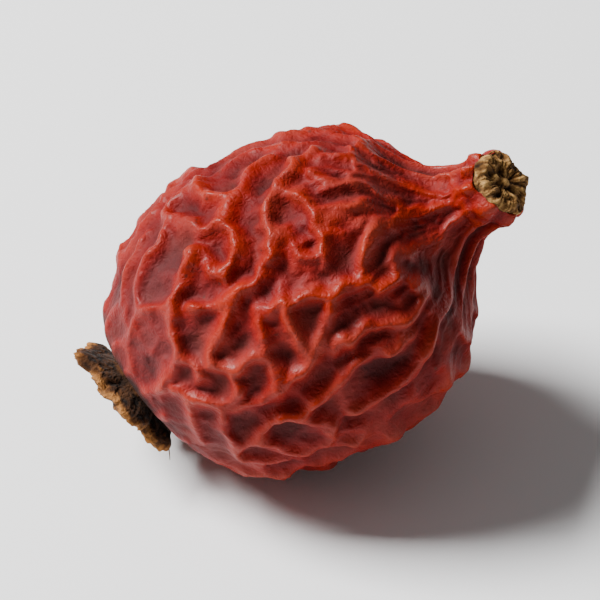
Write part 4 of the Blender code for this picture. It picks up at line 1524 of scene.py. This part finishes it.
@dataclass
class CalyxPlate:
    """The torn plate at the calyx end, with worn lobes, a raised ring and a pit in its outer face.

    The profile and every radius of a pair are shares of the plate's radius; distances outwards
    from its back and depths are in millimetres. The thread hangs from a place on the rim given
    as distance from the calyx, angle in degrees and radius.
    """

    fruit: Fruit
    offset: Array
    radius: float = 2.4
    gap: float = 0.3
    steps: int = 200
    profile: Profile = (
        (-0.5, 0.02), (-0.5, 0.3), (-0.5, 0.552), (-0.25, 0.57), (0.0, 0.592), (0.04, 0.64),
        (0.08, 0.70), (0.13, 0.76), (0.17, 0.82), (0.19, 0.88), (0.23, 0.93), (0.28, 0.97),
        (0.35, 1.0), (0.44, 1.02), (0.53, 1.02), (0.62, 1.0), (0.70, 0.965), (0.76, 0.92),
        (0.78, 0.87), (0.76, 0.82), (0.71, 0.77), (0.66, 0.72), (0.62, 0.67), (0.60, 0.62),
        (0.63, 0.57), (0.72, 0.53), (0.81, 0.49), (0.84, 0.45), (0.80, 0.40), (0.55, 0.37),
        (0.35, 0.35), (0.30, 0.30), (0.30, 0.18), (0.30, 0.02),
    )
    lobes: Waves = ((2, 1.5, 0.03), (5, 0.6, 0.07), (8, 2.0, 0.03), (13, 1.1, 0.015))
    curls: Waves = ((2, 0.9, 0.06), (5, 2.2, 0.07), (9, 1.0, 0.04))
    knobs: Waves = ((9, 0.0, 0.1), (23, 0.7, 0.02))
    seed: int = 11
    tears: int = 7
    tear_jitter: float = 0.4
    tear_depths: tuple[float, float] = (0.12, 0.5)
    tear_widths: tuple[float, float] = (0.05, 0.2)
    rim_from: float = 0.5
    ring_between: tuple[float, float] = (0.3, 0.4)
    knobs_between: tuple[float, float] = (0.45, 0.6)
    frayed_length: float = 0.55
    rough_length: float = 0.25
    rim_roughness: tuple[float, float] = (0.10, 0.045)
    face_roughness: tuple[float, float] = (0.08, 0.04)
    face_fade: float = 0.2
    edge_between: tuple[float, float] = (0.2, 0.46)
    edge_radius: tuple[float, float] = (0.76, 0.94)
    edge_frayed: float = 0.12
    face_between: tuple[float, float] = (0.5, 0.7)
    face_radius: tuple[float, float] = (0.34, 0.4)
    worn_shares: tuple[float, float, float] = (0.7, 0.18, 0.2)
    frayed_shares: tuple[float, float] = (0.3, 0.2)
    thread: Profile = ((0.0, 0.05), (0.25, 0.034), (0.5, 0.03), (0.75, 0.026), (1.0, 0.02), (1.25, 0.012))
    thread_root: tuple[float, float, float] = (0.45, 122.0, 2.15)
    thread_way: tuple[float, float] = (0.35, 0.94)
    thread_bend: float = 0.16
    thread_towards: float = 0.1
    thread_worn: float = 0.35
    # The darkest colour also serves as painted shade on the back of the plate.
    colours: Sequence[Colour] = ((0.010, 0.004, 0.0018), (0.075, 0.025, 0.006), (0.36, 0.145, 0.034))

    def torn(self, angle: Array, random: Draws) -> Array:
        """How far the tears cut into the rim, in millimetres.

        Args:
            angle: Angles round the axis, in radians.
            random: The seeded generator.

        Returns:
            The depth of the tears at each angle.
        """
        deep = np.zeros_like(angle)
        for number in range(self.tears):
            turn = number + random.uniform(-self.tear_jitter, self.tear_jitter)
            middle = 2 * math.pi * turn / self.tears
            cut, width = random.uniform(*self.tear_depths), random.uniform(*self.tear_widths)
            deep = np.maximum(deep, cut * np.exp(-np.abs(turn_between(angle, middle)) / width))
        return deep

    def hanging_thread(self) -> Shape:
        """Makes the hair-like rest of a fibre that hangs from the rim.

        Returns:
            The thread, where it hangs.
        """
        piece = RingStack("calyx_thread", self.thread, 8).piece
        along, angle, radius = axis_coordinates(piece)
        out, turn, wide = self.thread_root
        place = (np.array([out]), np.array([math.radians(turn)]), np.array([wide]))
        lean, drop = self.thread_way
        down, aside = np.array([lean, 0.0, -drop]), np.array([drop, 0.0, lean])
        points = self.fruit.laid_down(*place) + self.offset + np.outer(along, down)
        points += np.outer(radius * np.cos(angle) - self.thread_bend * along**2, aside)
        points[:, 1] += radius * np.sin(angle) - self.thread_towards * along
        put_points(piece, points)
        put_values(piece, "worn", np.full(along.shape, self.thread_worn))
        return piece

    def rough_rim(self, radius: Array) -> tuple[Array, Array]:
        """Marks the rim and the raised ring inside it.

        Args:
            radius: Distances from the axis.

        Returns:
            The share of the rim and that of the ring.
        """
        rim = rise(radius, self.rim_from * self.radius, self.radius)
        low, high = self.ring_between
        return rim, rise(radius, low * self.radius, high * self.radius) * (1 - rim)

    def paleness(self, depth: Array, radius: Array, ring: Array, frayed: Array) -> Array:
        """How pale the plate is: pale on its worn edge, dark as painted shade on its back by the body.

        Args:
            depth: Distances outwards from its back.
            radius: Distances from the axis.
            ring: The share of the raised ring.
            frayed: The noise that its tears follow.

        Returns:
            The paleness at each vertex, before it is held between 0 and 1.
        """
        share = radius / self.radius
        edge = rise(depth + self.edge_frayed * frayed, *self.edge_between) * rise(share, *self.edge_radius)
        face = rise(depth, *self.face_between) * rise(share, *self.face_radius)
        on_edge, on_face, on_ring = self.worn_shares
        worn = on_edge * edge + on_face * face * (1 - edge) + on_ring * ring
        on_edge, on_face = self.frayed_shares
        return worn + frayed * (on_edge * edge + on_face * face)

    def build(self, effects: Effects) -> Shape:
        """Makes the plate, tears its rim, lays it down and dresses it.

        Args:
            effects: The shared shader groups.

        Returns:
            The finished piece.
        """
        back = self.fruit.calyx_end - self.gap
        rings = [(back - out, share * self.radius) for out, share in self.profile]
        piece = RingStack("calyx_plate", rings, self.steps).piece
        along, angle, radius = axis_coordinates(piece)
        depth, random = back - along, np.random.default_rng(self.seed)
        rim, ring = self.rough_rim(radius)
        curl = sum(height for _, _, height in self.curls) + waves_round(angle, self.curls)
        knobs = ring * rise(depth, *self.knobs_between) * waves_round(angle, self.knobs)
        places = in_space(along, angle, radius)
        frayed = ripple(places, self.frayed_length, random)
        rough = ripple(places, self.rough_length, random)
        ragged, coarse = self.rim_roughness
        uneven = ragged * frayed + coarse * rough - self.torn(angle, random)
        wide = radius * (1 + rim * waves_round(angle, self.lobes)) + rim * uneven
        ragged, coarse = self.face_roughness
        outside = rise(depth, 0.0, self.face_fade)
        out = along - rim * curl + knobs - outside * (ragged * frayed + coarse * rough)
        put_points(piece, self.fruit.laid_down(out, angle, wide) + self.offset)
        # Pale on the worn edge; the back that faces the body stays dark as painted shade.
        worn = self.paleness(depth, radius, ring, frayed)
        worn_piece(piece, worn, FibreFinish(effects, "dry_calyx", *self.colours))
        thread = self.hanging_thread()
        thread.data.materials.append(piece.data.materials[0])
        joined([piece, thread])
        piece.data.shade_smooth()
        return piece


@dataclass
class StyleTuft:
    """The knob of dried styles in the calyx plate's pit, a bunch of small heads on one foot.

    Outwards is towards smaller distances along the axis. The tips are paler than the foot: wear
    is its level at the foot and how it changes with the distance.
    """

    fruit: Fruit
    offset: Array
    radius: float = 0.46
    foot: float = 0.3
    core: Profile = ((0.0, 0.02), (0.0, 0.34), (-0.2, 0.38), (-0.4, 0.3), (-0.46, 0.02))
    core_steps: int = 24
    heads: int = 22
    head: Profile = (
        (0.0, 0.04), (0.0, 0.065), (-0.2, 0.06), (-0.34, 0.075), (-0.42, 0.085), (-0.48, 0.075),
        (-0.52, 0.045), (-0.53, 0.012),
    )
    head_steps: int = 12
    spread: float = 0.84
    lean: float = 0.35
    uneven: float = 0.06
    seed: int = 3
    paleness: tuple[float, float] = (0.3, -1.3)
    colours: Sequence[Colour] = ((0.045, 0.022, 0.008), (0.22, 0.12, 0.04), (0.44, 0.29, 0.12))
    fineness: float = 3600.0

    def all_heads(self) -> list[Shape]:
        """Models one head, copies it and spreads the heads over the tuft.

        Returns:
            The heads, each a piece of its own.
        """
        first = RingStack("style_head", self.head, self.head_steps).piece
        heads, random = [first], np.random.default_rng(self.seed)
        for _ in range(self.heads - 1):
            copy = first.copy()
            copy.data = first.data.copy()
            bpy.context.scene.collection.objects.link(copy)
            heads.append(copy)
        for number, head in enumerate(heads):
            share = self.spread * math.sqrt((number + 0.5) / self.heads)
            turn, spot, lean = GOLDEN_TURN * number, share * self.radius, self.lean * share
            out = self.uneven * random.uniform(-1, 1)
            head.location = (out, -spot * math.sin(turn), spot * math.cos(turn))
            head.rotation_euler = (0.0, -lean * math.cos(turn), -lean * math.sin(turn))
        return heads

    def build(self, effects: Effects) -> Shape:
        """Makes the tuft, lays it down and dresses it.

        Args:
            effects: The shared shader groups.

        Returns:
            The finished piece.
        """
        core = RingStack("style_bunch", self.core, self.core_steps).piece
        piece = joined([core, *self.all_heads()])
        along, angle, radius = axis_coordinates(piece)
        put_points(piece, self.fruit.laid_down(along + self.foot, angle, radius) + self.offset)
        low, slope = self.paleness
        finish = FibreFinish(effects, "dry_styles", *self.colours, self.fineness)
        return worn_piece(piece, low + slope * along, finish)


@dataclass
class StalkStub:
    """The broken end of the stalk: a low cracked dome on the neck, with its plug in the socket.

    The profile is distance past the neck's end, in millimetres, and share of the stub's radius.
    Each roughness is the length and the height of its bumps, and crack_reach is how far out the
    cracks run, as a share of the radius. The numbers named worn and dark say how pale it is.
    """

    fruit: Fruit
    offset: Array
    radius: float = 1.2
    steps: int = 240
    profile: Profile = (
        (-0.25, 0.02), (-0.25, 0.4), (-0.25, 0.88), (0.0, 0.92), (0.2, 0.94), (0.30, 0.96),
        (0.38, 0.98), (0.44, 1.01), (0.51, 1.04), (0.58, 1.04), (0.66, 1.02), (0.73, 0.97),
        (0.79, 0.90), (0.83, 0.82), (0.85, 0.73), (0.85, 0.64), (0.83, 0.55), (0.80, 0.46),
        (0.77, 0.38), (0.76, 0.30), (0.78, 0.22), (0.80, 0.14), (0.81, 0.07), (0.81, 0.02),
    )
    broken: tuple[float, float] = (0.5, 0.78)
    lobes: Waves = ((2, 0.8, 0.04), (5, 0.0, 0.05), (13, 0.9, 0.02))
    lobed_between: tuple[float, float] = (0.2, 0.5)
    splinters: Waves = ((3, 0.4, 0.07), (5, 1.0, 0.05), (17, 0.3, 0.02))
    splinters_between: tuple[float, float] = (0.2, 0.9)
    fibres: Waves = ((31, 0.5, 0.018), (43, 1.9, 0.012))
    fibres_between: tuple[float, float] = (0.25, 0.6)
    fibre_sway: float = 0.1
    seed: int = 8
    roughness: Sequence[tuple[float, float]] = ((0.5, 0.08), (0.2, 0.03))
    growth_ring: float = 0.34
    growth_height: float = 0.02
    rim_roughness: float = 0.05
    cracks: int = 11
    crack_seed: int = 21
    crack_jitter: float = 0.3
    crack_reach: tuple[float, float] = (0.45, 0.95)
    crack_width: float = 0.045
    crack_depth: float = 0.05
    crack_from: tuple[float, float] = (0.12, 0.3)
    crack_sway: tuple[float, float] = (0.18, 4.0)
    crack_fade: float = 0.2
    cracked_between: tuple[float, float] = (0.45, 0.65)
    worn: float = 0.5
    worn_rough: tuple[float, float] = (0.28, 0.1)
    worn_fibres: float = 9.0
    dark_cracks: float = 0.6
    colours: Sequence[Colour] = ((0.022, 0.009, 0.003), (0.17, 0.075, 0.018), (0.47, 0.27, 0.085))

    def cracked(self, angle: Array, radius: Array) -> Array:
        """Cracks the end from its middle outwards.

        Args:
            angle: Angles round the axis, in radians.
            radius: Distances from the axis.

        Returns:
            Their depth at each place, 0 to 1.
        """
        random = np.random.default_rng(self.crack_seed)
        sway, waves = self.crack_sway
        deep = np.zeros_like(angle)
        for number in range(self.cracks):
            turn = number + random.uniform(-self.crack_jitter, self.crack_jitter)
            middle = 2 * math.pi * turn / self.cracks
            reach = random.uniform(*self.crack_reach) * self.radius
            swayed = angle + sway * np.sin(waves * radius + number)
            aside = radius * np.abs(turn_between(swayed, middle))
            line = np.exp(-((aside / self.crack_width) ** 2)) * rise(radius, *self.crack_from)
            deep = np.maximum(deep, line * (1 - rise(radius, reach, reach + self.crack_fade)))
        return deep

    def build(self, effects: Effects) -> Shape:
        """Makes the stub, cracks it, lays it down and dresses it.

        Args:
            effects: The shared shader groups.

        Returns:
            The finished piece.
        """
        end = self.fruit.neck_end
        rings = [(end + out, share * self.radius) for out, share in self.profile]
        piece = RingStack("stalk_scar", rings, self.steps).piece
        along, angle, radius = axis_coordinates(piece)
        places, random = in_space(along, angle, radius), np.random.default_rng(self.seed)
        (coarse, coarse_height), (small, small_height) = self.roughness
        rough, fine = ripple(places, coarse, random), ripple(places, small, random)
        top = rise(along - end, *self.broken)
        splinters = rise(radius, *self.splinters_between) * waves_round(angle, self.splinters)
        fibres = waves_round(angle + self.fibre_sway * rough, self.fibres)
        fibres = fibres * rise(radius, *self.fibres_between)
        cracks = self.cracked(angle, radius) * rise(along - end, *self.cracked_between)
        rings_of_growth = self.growth_height * np.cos(2 * math.pi * radius / self.growth_ring)
        raised = splinters + rings_of_growth + fibres - self.crack_depth * cracks
        out = along + top * (raised + coarse_height * rough + small_height * fine)
        lobed = rise(along - end, *self.lobed_between) * waves_round(angle, self.lobes)
        wide = radius * (1 + lobed) + self.rim_roughness * rough * top
        put_points(piece, self.fruit.laid_down(out, angle, wide) + self.offset)
        on_rough, on_fine = self.worn_rough
        worn = self.worn + on_rough * rough + on_fine * fine + self.worn_fibres * fibres
        worn = worn - self.dark_cracks * cracks
        return worn_piece(piece, worn, FibreFinish(effects, "dry_stalk", *self.colours))


@dataclass(frozen=True)
class Lamp:
    """A square soft light: its place as for the camera, watts, side and distance in metres."""

    name: str
    azimuth: float
    elevation: float
    power: float
    size: float
    distance: float


@dataclass(frozen=True)
class Studio:
    """A pale floor, soft light and the camera."""

    azimuth: float = -10.0
    elevation: float = 40.0
    distance: float = 0.36
    view_width: float = 0.0232
    clip: tuple[float, float] = (0.01, 10.0)
    floor_size: float = 3.0
    floor_grey: float = 0.92
    floor_rough: float = 0.9
    world_strength: float = 0.13
    lamps: Sequence[Lamp] = (
        Lamp("key_light", -110.0, 50.5, 2.7, 0.12, 0.30),
        Lamp("top_light", 30.0, 75.0, 0.04, 0.3, 0.35),
        Lamp("fill_light", 60.0, 25.0, 0.02, 0.3, 0.4),
    )

    def way(self, azimuth: float, elevation: float) -> Vector:
        """The direction from the object to something at this azimuth and elevation."""
        a, e = math.radians(azimuth), math.radians(elevation)
        return Vector((math.sin(a) * math.cos(e), -math.cos(a) * math.cos(e), math.sin(e)))

    def hang(self, name: str, data: bpy.types.ID, middle: Vector, way: Vector) -> Shape:
        """Hangs a camera or a light so that it looks at a point.

        Args:
            name: The object's name.
            data: The camera or light.
            middle: The point that it looks at.
            way: Where it hangs from there.

        Returns:
            The object.
        """
        holder = bpy.data.objects.new(name, data)
        bpy.context.scene.collection.objects.link(holder)
        holder.location = middle + way
        holder.rotation_euler = (-way).to_track_quat("-Z", "Y").to_euler()
        return holder

    def camera(self, middle: Vector) -> None:
        """Places the camera at the photograph's angle, looking at a point.

        Args:
            middle: The point.
        """
        lens = bpy.data.cameras.new("camera")
        lens.lens = lens.sensor_width * self.distance / self.view_width
        lens.clip_start, lens.clip_end = self.clip
        way = self.way(self.azimuth, self.elevation) * self.distance
        bpy.context.scene.camera = self.hang("camera", lens, middle, way)

    def floor(self) -> None:
        """A wide pale floor at the level of the resting spot."""
        nothing_selected()
        bpy.ops.mesh.primitive_plane_add(size=self.floor_size, location=(0.0, 0.0, 0.0))
        floor = bpy.context.object
        floor.name = "studio_floor"
        material, _, surface = new_material("studio_floor")
        grey = opaque((self.floor_grey,) * 3)
        set_sockets(surface, Base_Color=grey, Roughness=self.floor_rough)
        floor.data.materials.append(material)
        floor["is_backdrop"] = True

    def light(self, lamp: Lamp) -> None:
        """Hangs one of the lamps.

        Args:
            lamp: The lamp.
        """
        light = bpy.data.lights.new(lamp.name, "AREA")
        light.energy, light.size = lamp.power, lamp.size
        way = self.way(lamp.azimuth, lamp.elevation) * lamp.distance
        self.hang(lamp.name, light, Vector((0.0, 0.0, 0.0)), way)

    def build(self, middle: Vector) -> None:
        """Sets up camera, floor, lights and the pale surroundings.

        Args:
            middle: The middle of the fruit.
        """
        self.camera(middle)
        self.floor()
        for lamp in self.lamps:
            self.light(lamp)
        world = bpy.data.worlds.new("surroundings")
        world.use_nodes = True
        background = world.node_tree.nodes["Background"]
        background.inputs["Color"].default_value = (1.0, 1.0, 1.0, 1.0)
        background.inputs["Strength"].default_value = self.world_strength
        bpy.context.scene.world = world


def placed(piece: Shape, node: Piece) -> None:
    """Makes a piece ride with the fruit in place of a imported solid.

    Args:
        piece: The finished piece.
        node: The solid that it stands for.
    """
    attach(piece, "root")
    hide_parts(node.value)
    faces = sum(len(face.vertices) - 2 for face in piece.data.polygons)
    LOG.info("%s stands for %s, %d triangles", piece.name, node.value, faces)


def corners(bounds: Sequence[Sequence[float]]) -> list[list[float]]:
    """Two corners as plain lists of numbers."""
    return [[float(value) for value in corner] for corner in bounds]


def main() -> None:
    """Loads the frame, builds the fruit piece by piece, and sets up the studio."""
    logging.basicConfig(level=logging.INFO, format="%(message)s")
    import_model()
    solid_bounds = corners(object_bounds())
    fruit = Fruit()
    effects = Effects()
    skin = HipSkin(fruit, FoldLines(), FoldRules())
    placed(skin.build(effects), Piece.HIP)
    placed(CalyxPlate(fruit, skin.offset).build(effects), Piece.CALYX)
    placed(StyleTuft(fruit, skin.offset).build(effects), Piece.STYLES)
    placed(StalkStub(fruit, skin.offset).build(effects), Piece.STUB)
    low, high = (Vector(corner) for corner in solid_bounds)
    Studio().build((low + high) / 2)
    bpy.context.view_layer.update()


if __name__ == "__main__":
    main()
